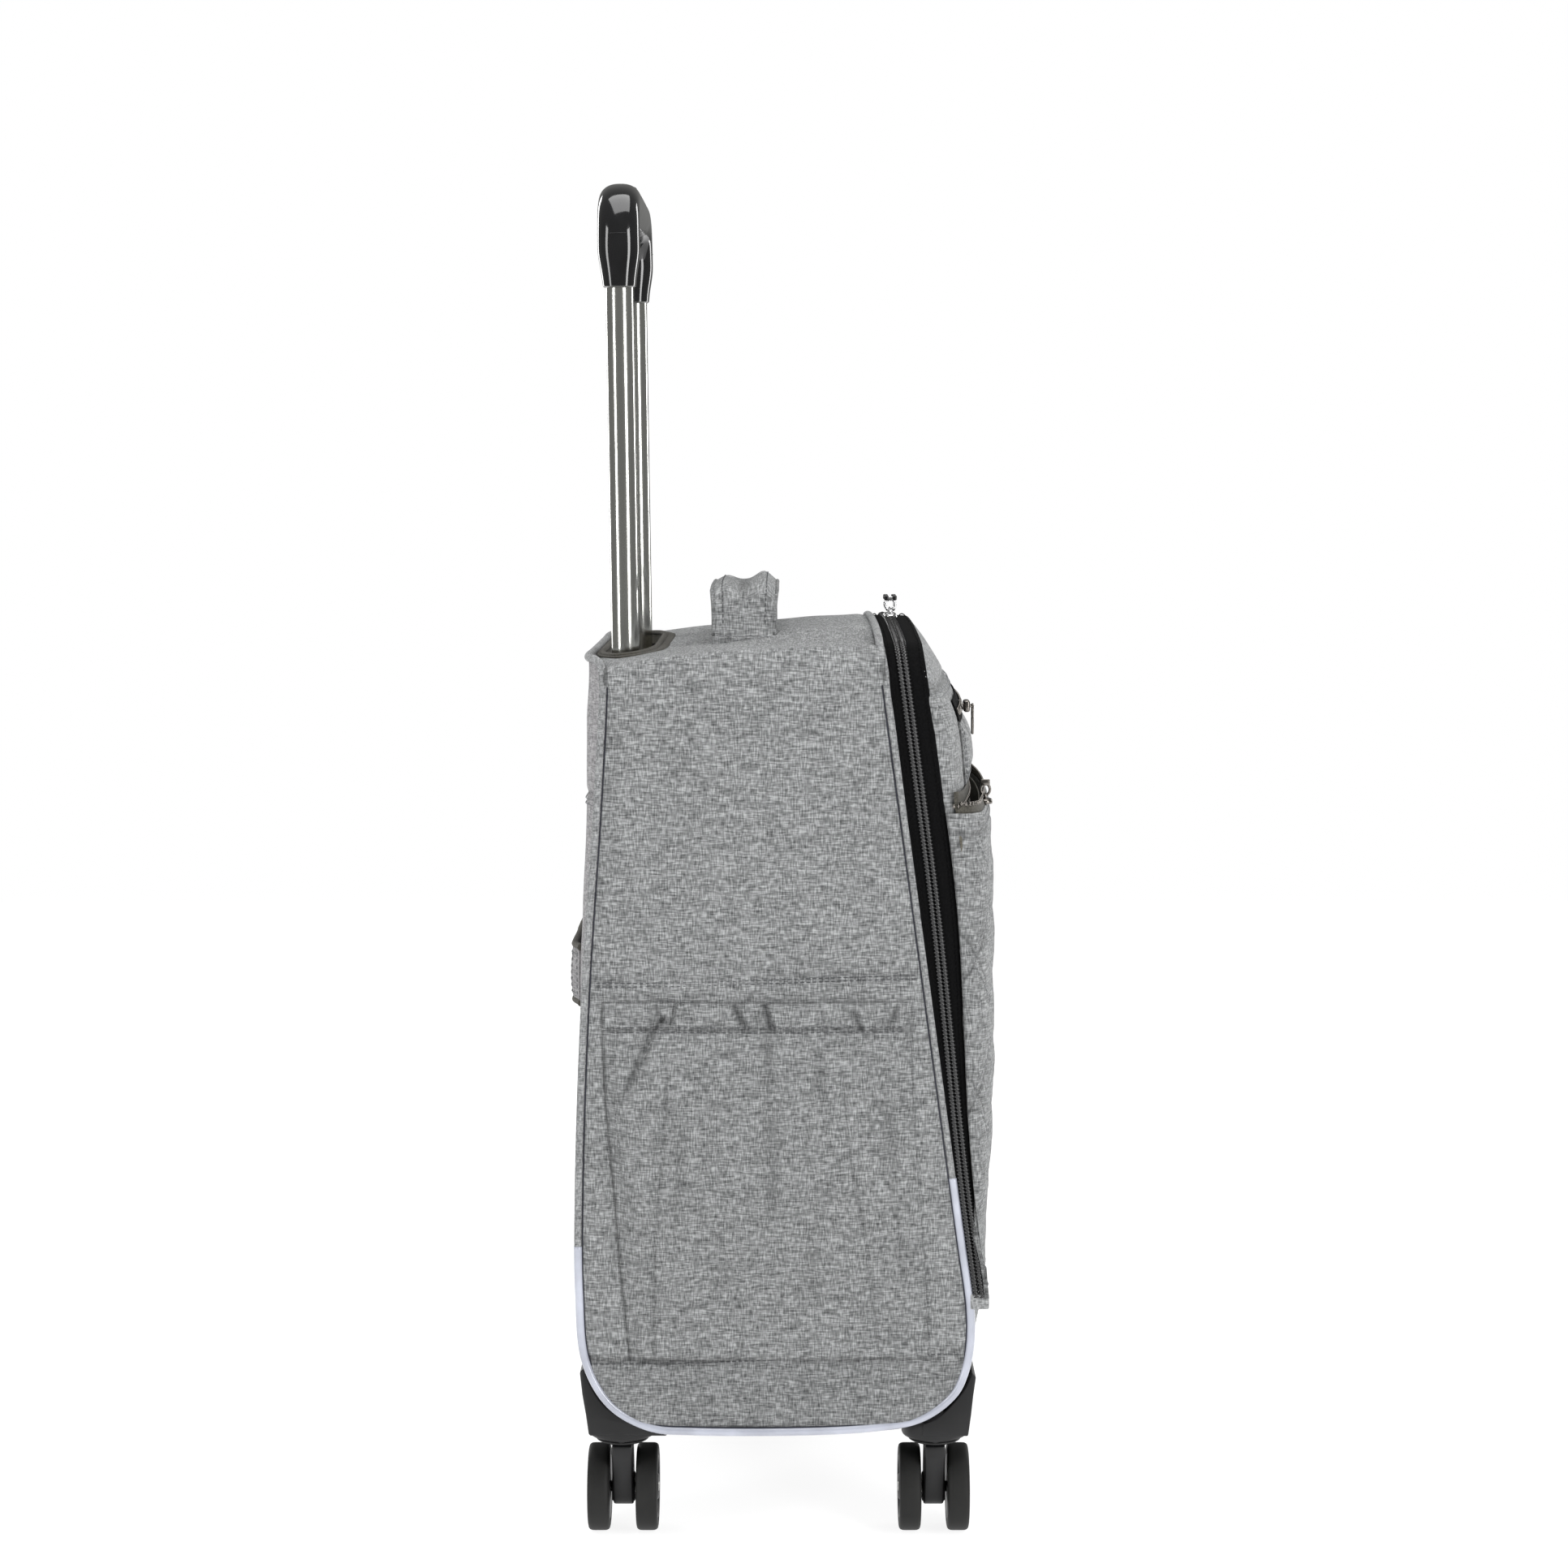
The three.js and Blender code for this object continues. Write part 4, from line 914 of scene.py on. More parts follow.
def seam_line(path, sign):
    """The line just inside the piping where the panel is sewn to it."""
    run = np.gradient(path, axis=0)
    run /= np.linalg.norm(run, axis=1, keepdims=True)
    facing = np.array([sign, 0, 0], float)
    inward = np.cross(run, facing)
    inward /= np.linalg.norm(inward, axis=1, keepdims=True)
    middle = np.array([sign * PIPING_X, 0, 300])
    if ((middle - path) * inward).sum() < 0:
        inward = -inward
    side_only = smooth(np.abs(path[:, 0]), PIPING_X - 3, PIPING_X - 0.2)[:, None]
    keep = side_only[:, 0] > 0.5
    return (path + inward * 2.55 + facing * 1.25)[keep]


def piping():
    """Cord round each side: covered in cloth above and clear below, with a dark cord along its sewn seam
    inside, painted as the seam's shadow.
    """
    for side, sign in SIDES:
        path = piping_path(sign)
        y, z = path[:, 1], path[:, 2]
        pearl = ((y > 0) & (z < PEARL_REAR_Z)) | ((y < 0) & (z < PEARL_FRONT_Z))
        first, last = np.flatnonzero(pearl)[[0, -1]]
        parts = [swept(piece, circle(2.3, 14), (sign, 0, 0.01))
                 for piece in (path[:first + 3], path[last - 2:])]
        cloth_part(f"{side}_fabric_piping", parts, 0.92, PIPING_FABRIC, "case")
        inward = seam_line(path, sign)
        # The dark seam cord is painted shadow: it darkens the groove where the panel is sewn to the piping.
        piece_of(f"{side}_piping_seam", [swept(inward, circle(0.42, 8), (sign, 0, 0.01))], SEAM_SHADOW, "case")
        bead = path[first:last + 1] + np.array([0.35 * sign, 0, 0])
        piece_of(f"{side}_pearl_piping", [swept(bead, circle(2.5, 18), (sign, 0, 0.01))], CLEAR_PIPING,
                 "case", f"{side}_piping")


# ---- lid -----------------------------------------------------------------------------------
def lid_half(z):
    rise = np.clip((np.asarray(z, float) - RIM_SIDE_TOP) / (LID_TOP - RIM_SIDE_TOP + 1), 0, 1)
    return LID_X - RIM_CORNER * 1.6 * (1 - np.sqrt(1 - rise * rise))


def wrap_section(half, rim, face, count, corner=14.0):
    """[x, y] from the left rim round the front to the right rim, evenly spaced."""
    depth = max(rim - face, 0.05)
    radius = min(corner, 0.75 * depth)
    angle = np.linspace(0, math.pi / 2, 12)
    left = np.stack([-half + radius * (1 - np.cos(angle)), face + radius * (1 - np.sin(angle))], 1)
    path = np.concatenate([[(-half, rim)], left, left[::-1] * (-1, 1), [(half, rim)]])
    path = resample(path, count)
    share = (rim - path[:, 1]) / depth
    path[:, 1] = mix(rim, np.minimum(rim, face + bow(path[:, 0], depth)), share)
    return path


def lid_grid(depth=0.0, rows=110, columns=171, top=LID_TOP - 1):
    dense = Curve(LID_FACE).even(rows)
    grid = []
    for z, face in dense:
        z = LID_BOTTOM + (z - LID_BOTTOM) * (top - LID_BOTTOM) / (LID_TOP - 1 - LID_BOTTOM)
        section = wrap_section(float(lid_half(z)) - depth, float(rim_y(z)),
                               min(face + depth, float(rim_y(z)) - 0.02), columns)
        crown = (2 - 6 * (section[:, 0] / 146) ** 2) * smooth(z, 502, 520)
        grid.append(np.stack([section[:, 0], section[:, 1], z + crown], 1))
    return np.array(grid)


def lid():
    """The lid's shell: outer cloth, lining, the cloth under its foot, and its seam."""
    points = lid_grid()
    x, y, z = np.moveaxis(points, -1, 0)
    normal = normals_outward(points, LID_CENTRE[:3])
    on_rim = np.minimum(np.arange(points.shape[1]), np.arange(points.shape[1])[::-1])[None, :] * 2.3
    edge = np.minimum(on_rim, (520 - z) * 1.2)
    swell = 0.9 * folds(x / 60, z / 55, 41) + 0.35 * folds((x + y) / 18, z / 16, 42)
    seam = np.exp(-((z - LID_SEAM_Z) / 2.0) ** 2)
    offset = swell * smooth(edge, 2, 16) * smooth(z, 150, 170) - 1.3 * seam
    points = points + normal * offset[..., None]
    # Painted shade: darker in the seam groove and along the edges by the rim and the top.
    shade = (1 - 0.4 * seam) * (1 - 0.5 * (1 - smooth(edge, 0.2, 3.0)))
    cloth("lid_cloth", points, CLOTH, LID_CENTRE, FABRIC, "lid", "lid_shell", shade=shade)
    inner = lid_grid(3.4, 60, 120, LID_TOP - 5)
    cloth("lid_lining", inner, THIN, LID_CENTRE, LINING, "lid")
    x = np.linspace(-LID_X + 3, LID_X - 3, 60)
    rim, face = float(rim_y(LID_BOTTOM + 1)), float(along(LID_FACE, LID_BOTTOM + 1))
    share = np.linspace(0, 1, 6)
    front = np.minimum(rim - 0.2, face + 1.5 + bow(x, rim - face))[:, None]
    floor = np.stack([np.broadcast_to(x[:, None], (60, 6)), mix(rim, front, share),
                      np.full((60, 6), LID_BOTTOM + 0.8)], -1)
    cloth("lid_bottom_cloth", floor, 0.8, (0, 0, -1), FABRIC, "lid")
    lines = []
    for z in (LID_SEAM_Z - 3, LID_SEAM_Z - 5.6):
        face = float(along(LID_FACE, z))
        ring = wrap_section(float(lid_half(z)), float(rim_y(z)) - 4, face, 200)
        out = np.stack([ring[:, 0] / LID_X, np.full(len(ring), -0.25), 0 * ring[:, 0]], 1)
        out[np.abs(ring[:, 0]) < LID_X - 13] = (0, -1, 0.1)
        ring = np.column_stack([ring, np.full(len(ring), z)])
        lines.append((ring + out * 0.3, out))
    stitches("lid_stitching", lines, "lid")


LID_SEAM_Z = 492


# ---- quilted lower pocket --------------------------------------------------------------------
QUILT_RISE, QUILT_RUN = 77, 68  # height and width of one diamond
POCKET_BAND_Z = 411  # seam under the plain band along the pocket's mouth
LINING_FOOT_Z = 200  # below this the pocket is too shallow to hold a separate lining


def pocket_section(z, count, depth=0.0):
    """[x, y] of the pocket's front at height z, set in by depth."""
    face = min(float(along(POCKET_FACE, z)), float(along(LID_FACE, z)) - 2.6)
    return wrap_section(POCKET_X - depth, float(rim_y(z)) - 1.5, face + depth, count, 17)


def pocket_height(s, z):
    """How far the quilting stands off at distance s from the middle and height z.

    Also how near the place is to a quilting line (0 on the line), and 1 on the band's seam.
    """
    p = (z - POCKET_FOOT) / QUILT_RISE + s / QUILT_RUN
    q = (z - POCKET_FOOT) / QUILT_RISE - s / QUILT_RUN
    pillow = np.abs(np.sin(math.pi * p)) * np.abs(np.sin(math.pi * q))
    groove = np.minimum(np.abs(np.sin(math.pi * p)), np.abs(np.sin(math.pi * q)))
    height = 3.4 * pillow ** 0.55 - 3.3  # the quilting lines lie 3.3 below the pocket's outline
    crease = 0.22 * folds(s / 9, z / 9, 51) + 0.4 * folds(s / 24, z / 24, 52)
    height = height + crease * smooth(groove, 0.03, 0.3)
    band = smooth(z, POCKET_BAND_Z - 3, POCKET_BAND_Z + 1)
    foot = 1 - smooth(z, 150, 158)
    flat = np.maximum(band, foot)
    seam = np.exp(-((z - POCKET_BAND_Z) / 1.5) ** 2)
    return mix(height, -0.3, flat) - 1.1 * seam, mix(groove, 1, flat), seam


def quilted_pocket():
    """The padded pocket on the lid. Returns its outer points and their normals."""
    rows, columns = 240, 420
    heights = np.linspace(POCKET_FOOT, POCKET_TOP, rows)
    grid = np.zeros((rows, columns, 3))
    inner = np.zeros((rows, columns, 3))
    reach = np.zeros((rows, columns))
    for i, z in enumerate(heights):
        section = pocket_section(z, columns)
        grid[i] = np.column_stack([section, np.full(columns, z)])
        inner[i] = np.column_stack([pocket_section(z, columns, 5.4), np.full(columns, z)])
        steps = np.linalg.norm(np.diff(section, axis=0), axis=1)
        run = np.concatenate([[0], np.cumsum(steps)])
        reach[i] = run - run[-1] / 2
    height, groove, seam = pocket_height(reach, heights[:, None])
    normal = normals_outward(grid, POCKET_CENTRE[:3])
    end = np.minimum(np.arange(columns), np.arange(columns)[::-1])[None, :] * 1.1
    fade = smooth(end, 0, 9)
    height = mix(-0.6, height, fade)
    points = grid + normal * height[..., None]
    # Painted shade: darker in the quilting grooves, in the band's seam and towards the pocket's two side
    # ends.
    shade = (0.56 + 0.44 * smooth(groove, 0.0, 0.10)) * (1 - 0.4 * seam) * (0.6 + 0.4 * smooth(end, 0, 4))
    pocket = cloth("quilted_pocket", points, 1.6, POCKET_CENTRE, FABRIC, "lid", "lower_pocket",
                   shade=shade)
    start = int(np.searchsorted(heights, LINING_FOOT_Z))
    cloth("quilted_pocket_lining", (inner + normal * 0.2)[start:], THIN, POCKET_CENTRE, LINING, "lid")
    lines = []
    first, last = heights[0] + 9, POCKET_BAND_Z - 2
    for number in range(-8, 9):
        for slope in (-1, 1):
            z = np.linspace(first, last, 200)
            s = slope * QUILT_RUN * ((z - POCKET_FOOT) / QUILT_RISE - number)
            lines += surface_lines(points, normal, heights, reach, z, s)
    for z in (POCKET_BAND_Z + 3.2, POCKET_TOP - 3.0, 154):
        s = np.linspace(reach.min() + 8, reach.max() - 8, 300)
        lines += surface_lines(points, normal, heights, reach, np.full(300, float(z)), s)
    stitches("quilting_stitches", lines, "lid", pitch=3.6, length=2.2, radius=0.26)
    return points, normal


def surface_lines(points, normal, heights, reach, z, s):
    """The stretch of a line (s, z) that lies on the pocket, as (points, normals)."""
    rows = np.clip(np.interp(z, heights, np.arange(len(heights))), 0, len(heights) - 1.001)
    i = rows.astype(int)
    limit = reach[i, -1] - 6
    inside = np.abs(s) < limit
    if inside.sum() < 8:
        return []
    first, last = np.flatnonzero(inside)[[0, -1]]
    rows, s, i = rows[first:last + 1], s[first:last + 1], i[first:last + 1]
    columns = (s + reach[i, -1]) / (2 * reach[i, -1]) * (points.shape[1] - 1)
    j = np.clip(columns.astype(int), 0, points.shape[1] - 2)
    a, b = (rows - i)[:, None], (columns - j)[:, None]
    place = mix(mix(points[i, j], points[i, j + 1], b), mix(points[i + 1, j], points[i + 1, j + 1], b), a)
    return [(place + normal[i, j] * 0.12, normal[i, j])]


# ---- zippers ---------------------------------------------------------------------------------
def coil(name, path, normal, body, radius, pitch, flat):
    """A coil element row along a path: a cord with one raised turn at every pitch."""
    count = int(length_of(path) / pitch * 6)
    spots = resample(path, count)
    normals = normals_at(path, normal, count)
    wave = 0.5 + 0.5 * np.cos(np.arange(count) * 2 * math.pi / 6)
    size = 0.55 + 0.45 * wave ** 0.8
    scale = np.stack([size, size], 1)
    tube = swept(spots, circle(radius, 8, flat), normals, scale=scale)
    return piece_of(name, [tube], NYLON, body)


def teeth(name, path, normal, body, pitch=2.6, size=(1.5, 2.6, 1.3)):
    """Separate metal elements along a tape's edge."""
    count = int(length_of(path) / pitch)
    spots = resample(path, count)
    side, rise = frames_along(spots, normals_at(path, normal, count))
    tangent = np.cross(rise, side)
    block = rounded_box((-size[0] / 2, -size[1] / 2, -size[2] / 2),
                        (size[0] / 2, size[1] / 2, size[2] / 2), 0.45, 1)
    parts = []
    for k in range(count):
        basis = np.stack([tangent[k], side[k], rise[k]])
        parts.append((spots[k] + block[0] @ basis, block[1]))
    return piece_of(name, parts, GUNMETAL, body)


def rim_path(count=400):
    """[x, z] of the lid opening from the left foot over the top to the right foot."""
    angle = np.linspace(0, math.pi / 2, 16)
    cornered = np.stack([-LID_X + RIM_CORNER * (1 - np.cos(angle)),
                         RIM_SIDE_TOP + RIM_CORNER * np.sin(angle)], 1)
    share = np.linspace(-1, 0, 30)[1:]
    top = np.stack([(LID_X - RIM_CORNER) * share,
                    RIM_SIDE_TOP + RIM_CORNER + RIM_CROWN * (1 - share ** 2)], 1)
    left = np.concatenate([[(-LID_X, LID_BOTTOM + 1)], cornered, top])
    return resample(np.concatenate([left, left[::-1][1:] * (-1, 1)]), count)


def rim_normals(path):
    run = np.gradient(path, axis=0)
    run /= np.linalg.norm(run, axis=1, keepdims=True)
    return np.stack([-run[:, 1], 0 * run[:, 0], run[:, 0]], 1)


def main_zipper():
    """Case and lid tapes with a coil each, their stitching, and the tabs at both feet."""
    path = rim_path()
    out = rim_normals(path)
    x, z = path.T
    spans = (("case", "case_zipper_tape", front_edge_y(z) - 1.6, coil_y(z) + 0.15),
             ("lid", "lid_zipper_tape", coil_y(z) - 0.15, rim_y(z) - 1.2))
    for body, node, near, far in spans:
        share = np.linspace(0, 1, 9)
        y = mix(near[:, None], far[:, None], share)
        grid = np.stack([np.broadcast_to(x[:, None], y.shape), y, np.broadcast_to(z[:, None], y.shape)], -1)
        bow = 0.35 * np.sin(math.pi * share) + 0.12 * folds(y / 14, z[:, None] / 20, 61)
        grid = grid + out[:, None] * bow[..., None]
        edge = np.minimum(share, 1 - share)
        # Painted shade, darker along the tape's two edges; the tape's material does not read it.
        shade = np.broadcast_to(0.7 + 0.3 * smooth(edge, 0, 0.2), y.shape)
        cloth(f"{body}_tape", grid, 0.9, (0, 0, 330, 0), TAPE, body, node, shade=shade)
        sign = 1 if body == "case" else -1
        centre = np.stack([x, coil_y(z) + 1.65 * sign, z], 1) + out * 0.7
        coil(f"{body}_zipper_coil", centre, out, body, radius=2.1, pitch=2.1, flat=0.8)
        welt = np.stack([x, near if body == "case" else far, z], 1) + out * 0.5
        lines = [(welt + np.array([0, -2.2 * sign, 0]) + out * 0.35, out)]
        stitches(f"{body}_tape_stitching", lines, body, TAPE, pitch=3.2)
    for side, sign in SIDES:
        low, high = LID_BOTTOM - 6, LID_BOTTOM + 3
        y = float(coil_y(LID_BOTTOM))
        tab = rounded_box((sign * LID_X - 1.6, y - 5.5, low), (sign * LID_X + 1.6, y + 5.5, high), 1.2, 3)
        cloth_part(f"{side}_zipper_end_tab", [tab], 1.0, PIPING_FABRIC, "case")


def slider(name, centre, body, material, turn=None):
    """A slider body: a domed plate, waisted in plan, with an arched bridge for the pull."""
    plan = []
    for angle in np.linspace(0, 2 * math.pi, 40, endpoint=False):
        along_x, along_y = math.cos(angle), math.sin(angle)
        waist = 1 - 0.18 * math.exp(-(along_x / 0.35) ** 2)
        plan.append((7 * along_x * (1 - 0.12 * max(0, -along_x)), 4.6 * along_y * waist))
    plan = np.array(plan)
    rings = ((0.86, 0.0), (1.0, 0.5), (1.0, 1.7), (0.93, 2.5), (0.7, 3.0), (0.001, 3.15))
    vertices = np.concatenate([np.column_stack([plan * s, np.full(len(plan), h)]) for s, h in rings])
    faces = list(grid_faces(len(rings), len(plan), wrap=True)) + [tuple(range(len(plan)))[::-1]]
    angle = np.linspace(0, math.pi, 13)
    arch = np.stack([-3.6 * np.cos(angle), 0 * angle, 2.4 + 2.6 * np.sin(angle)], 1)
    bridge = swept(arch, circle(1.0, 10, 0.7) * (1.5, 1), (0, 1, 0))
    parts = [moved((vertices, faces), centre, turn), moved(bridge, centre, turn)]
    return piece_of(name, parts, material, body, name)


def pull_ring(centre, half_y, half_z, steps, wire):
    """An oval wire ring that stands across X."""
    x, y, z = centre
    loop = [(x, y + half_y * math.sin(a), z + half_z * -math.cos(a))
            for a in np.linspace(0, 2 * math.pi, steps, endpoint=False)]
    return swept(loop, circle(wire, 10), (1, 0, 0), closed=True)


def main_sliders():
    """The two sliders at the top, each with a ring and a forked pull tip."""
    y = float(coil_y(517))
    z = RIM_SIDE_TOP + RIM_CORNER + RIM_CROWN + 0.4
    for side, sign in SIDES:
        x = sign * 9
        slider(f"{side}_main_slider", (x, y, z), f"{side}_main_slider", CHROME)
        ring = pull_ring((x, y, z + 8.2), 2.9, 3.6, 40, 0.8)
        stem = rounded_box((x - 1.2, y - 2.4, z + 10.6), (x + 1.2, y + 2.4, z + 13.4), 0.8, 3)
        piece_of(f"{side}_main_pull", [ring, stem], CHROME, f"{side}_main_pull", f"{side}_main_pull")
        tips = [rounded_box((x - 1.5, y + dy - 1.5, z + 10.9), (x + 1.5, y + dy + 1.5, z + 14.0), 0.9, 3)
                for dy in (-2.4, 2.4)]
        piece_of(f"{side}_pull_tips", tips, GLOSS, f"{side}_main_pull")


def lower_pocket_zip(points, normal):
    """Tapes and teeth on both lips of the quilted pocket's mouth, its back lining and its slider."""
    row = points[-1] + normal[-1] * -0.6
    keep = slice(10, -10)
    rise = np.linspace(0, 1, 5)[:, None, None]
    inward = -normal[-1]
    flare = row[None, keep] + np.array([0, 0, 1]) * rise * 4.6 + inward[None, keep] * rise * 1.5
    cloth("lower_pocket_tape", flare, 0.6, MOUTH_CENTRE, BINDING, "lid")
    teeth("lower_pocket_teeth", row[keep] + np.array([0, 0, 5.2]) + inward[keep] * 1.6, normal[-1][keep],
          "lid")
    rows = []
    for z in np.linspace(POCKET_TOP - 24, POCKET_TOP + 8.5, 12):
        section = wrap_section(float(lid_half(z)) + 0.5, float(rim_y(z)) - 7, float(along(LID_FACE, z)) - 0.7,
                               260)
        rows.append(np.column_stack([section, np.full(260, z)]))
    back = np.array(rows)
    cloth("lower_pocket_back_lining", back, THIN, MOUTH_CENTRE, LINING, "lid")
    edge = back[-1]
    up = normals_outward(back, MOUTH_CENTRE[:3])[-1]
    strip = edge[None] + np.array([0, 0, 1]) * np.linspace(-4.5, 3.5, 5)[:, None, None] + up[None] * 0.5
    cloth("lower_pocket_lid_tape", strip, 0.6, MOUTH_CENTRE, BINDING, "lid")
    teeth("lower_pocket_lid_teeth", edge + np.array([0, 0, -4.6]) + up * 0.9, up, "lid")
    x, z = -120, POCKET_TOP + 0.4
    y = float(along(POCKET_FACE, POCKET_TOP) + bow(x, 2 * BOW)) + 1
    slider("lower_pocket_slider", (x, y, z), "lower_pocket_slider", GUNMETAL)
    ring = pull_ring((x, y, z + 8.0), 2.6, 3.2, 36, 0.75)
    blade = rounded_box((x - 0.9, y - 2.6, z + 10.2), (x + 0.9, y + 2.6, z + 13.8), 0.6, 3)
    piece_of("lower_pocket_pull", [ring, blade], GUNMETAL, "lower_pocket_pull", "lower_pocket_pull")


UPPER_HALF, UPPER_LOW, UPPER_HIGH = 128, 433, 470  # the upper pocket's cloth
UPPER_ZIP_Z, UPPER_SLIDER_X = 476, -90


def upper_pocket():
    """The zipped pocket on the upper lid, with its teeth, slider and hanging pull."""
    rows, columns = 40, 130
    u = np.linspace(-1, 1, columns)[None, :]
    v = np.linspace(0, 1, rows)[:, None]
    x = UPPER_HALF * u + 0 * v
    z = mix(UPPER_LOW, UPPER_HIGH, v) + 0 * u
    edge = np.minimum((1 - np.abs(u)) * UPPER_HALF, np.minimum(v, 1 - v) * (UPPER_HIGH - UPPER_LOW))
    bulge = 1.2 + 3.6 * smooth(edge, 0, 14) + 0.5 * folds(x / 22, z / 16, 71) * smooth(edge, 2, 10)
    points = np.stack([x, lid_face(x, z) - bulge, z], -1)
    # Painted shade: darker along the pocket cloth's edges.
    shade = 0.5 + 0.5 * smooth(edge, 0.3, 2.6)
    cloth("upper_pocket_cloth", points, 1.4, (0, 0, 440, 0), FABRIC, "lid", "upper_pocket", shade=shade)
    lines = []
    for inset in (3.2, 5.6):
        half, low, high = UPPER_HALF - inset, UPPER_LOW + inset, UPPER_HIGH - inset
        for a, b in (((-half, low), (half, low)), ((-half, low), (-half, high)), ((half, low), (half, high))):
            run = np.linspace(a, b, 60)
            lift = 1.2 + 3.6 * float(smooth(inset, 0, 14)) + 0.2
            lines.append((np.column_stack([run[:, 0], lid_face(run[:, 0], run[:, 1]) - lift, run[:, 1]]),
                          (0, -1, 0.1)))
    stitches("upper_pocket_stitching", lines, "lid")
    x = np.linspace(-UPPER_HALF, UPPER_HALF, 120)
    z = np.linspace(UPPER_HIGH - 1, 482, 7)[:, None] + 0 * x[None, :]
    strip = np.stack([x[None, :] + 0 * z, lid_face(x[None, :], z) - 1.3, z], -1)
    cloth("upper_pocket_tape", strip, 0.7, (0, 0, 440, 0), TAPE, "lid")
    line = np.column_stack([x, lid_face(x, 475.5) - 2.3, np.full(120, 475.5)])
    teeth("upper_pocket_teeth", line, (0, -1, 0.35), "lid", size=(1.5, 4.2, 1.5))
    x, z = UPPER_SLIDER_X, UPPER_ZIP_Z
    y = float(lid_face(0, z)) - 0.5
    body = rounded_box((x - 6, y - 4, z - 3.4), (x + 6, y - 0.2, z + 3.4), 1.4, 4)
    angle = np.linspace(0, math.pi, 11)
    arch = np.stack([x - 3 * np.cos(angle), y - 3.6 - 2.2 * np.sin(angle), z + 0 * angle], 1)
    bridge = swept(arch, circle(0.8, 8), (0, 0, 1))
    loop = [(x + 2.6 * math.sin(a), y - 5.6, z - 3.2 + 4.0 * math.cos(a))
            for a in np.linspace(0, 2 * math.pi, 30, endpoint=False)]
    ring = swept(loop, circle(0.7, 8), (0, 1, 0), closed=True)
    blade = rounded_box((x - 2.4, y - 6.4, z - 16.5), (x + 2.4, y - 4.8, z - 6.4), 0.8, 3)
    piece_of("upper_pocket_slider", [body, bridge, ring, blade], GUNMETAL,
                 "upper_pocket_slider", "upper_pocket_slider")


def upright_sheet(half, low, high, rows, columns):
    """x and z over an upright rectangle, and how far each place is from its edge."""
    z = np.linspace(low, high, rows)[:, None] + np.zeros((1, columns))
    x = np.linspace(-half, half, columns)[None, :] + 0 * z
    return x, z, np.minimum(half - np.abs(x), np.minimum(z - low, high - z))


def mesh_divider():
    """The net that closes the back of the lid, bound all round."""
    x, z, edge = upright_sheet(160, 156, 494, 90, 90)
    y = rim_y(z) + 0.9 - 0.5 * smooth(edge, 0, 60) * (1 + folds(x / 60, z / 60, 81))
    points = np.stack([x, y, z], -1)
    cloth("lid_mesh", points, 0.4, (0, 1, 0), NET, "lid", "lid_mesh_divider")
    frame_path = [(-158, 158), (158, 158), (158, 492), (-158, 492)]
    parts = []
    for (x0, z0), (x1, z1) in zip(frame_path, frame_path[1:] + frame_path[:1]):
        run = np.linspace((x0, z0), (x1, z1), 30)
        spots = np.column_stack([run[:, 0], rim_y(run[:, 1]) + 0.8, run[:, 1]])
        parts.append(swept(spots, circle(4.5, 14, 0.22), (0, 1, 0)))
    piece_of("lid_mesh_binding", parts, BINDING, "lid")


def lid_hinge_strip():
    """The strip of cloth that joins the foot of the lid to the sill."""
    x = np.linspace(-160, 160, 80)
    rows = []
    for share in np.linspace(0, 1, 17):
        z = mix(141.0, 150.5, share)
        sill = wall_point(x, np.full_like(x, LAST - 0.03))[:, 1]
        y = mix(sill + 3.4, lid_face(x, 150) + 3.4, smooth(share, 0.1, 0.9))
        rows.append(np.stack([x, y, np.full_like(x, z)], -1))
    points = np.array(rows)
    strip = cloth("lid_hinge_strip", points, 0.8, (0, -1, 0), TAPE, None)
    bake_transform(strip)


# ---- side pockets ----------------------------------------------------------------------------
HEM_Z, POCKET_HIGH_Z, POCKET_LOW_Z = 301, 316, 112.5
# Creases in the slack cloth: from and to as (y, z), half width, and depth, which also sets the painted shade
# in the crease.
POCKET_CREASES = (
    ((67, 310), (75, 299), 1.7, 2.2), ((74, 302), (93, 262), 2.2, 2.0), ((74, 315), (68, 303), 1.5, 1.6),
    ((62, 317), (66, 302), 1.5, 1.8), ((32, 318), (23, 302), 1.9, 2.4), ((14, 318), (9, 302), 2.0, 2.3),
    ((20, 306), (6, 303), 1.8, 1.4), ((11, 299), (11, 268), 3.4, 1.4), ((10, 264), (9, 196), 4.5, 0.9),
    ((-17, 292), (-20, 258), 3.0, 1.2), ((-36, 312), (-43, 298), 1.6, 2.0),
    ((-62, 316), (-58, 305), 1.6, 1.6), ((-52, 309), (-60, 300), 1.8, 1.0),
    ((-56, 262), (-60, 212), 3.2, 0.9), ((-60, 205), (-66, 150), 2.6, 1.0),
    ((58, 250), (62, 190), 4.0, 0.6), ((-20, 220), (-12, 150), 5.0, 0.5))


def crease_along(y, z, start, stop, width):
    """1 along a line across the cloth, fading to its sides and its ends."""
    (y0, z0), (y1, z1) = start, stop
    run_y, run_z = y1 - y0, z1 - z0
    size = math.hypot(run_y, run_z)
    share = ((y - y0) * run_y + (z - z0) * run_z) / size ** 2
    off = ((y - y0) * run_z - (z - z0) * run_y) / size
    ends = smooth(share, -0.15, 0.25) * (1 - smooth(share, 0.7, 1.2))
    return np.exp(-(off / width) ** 2) * ends


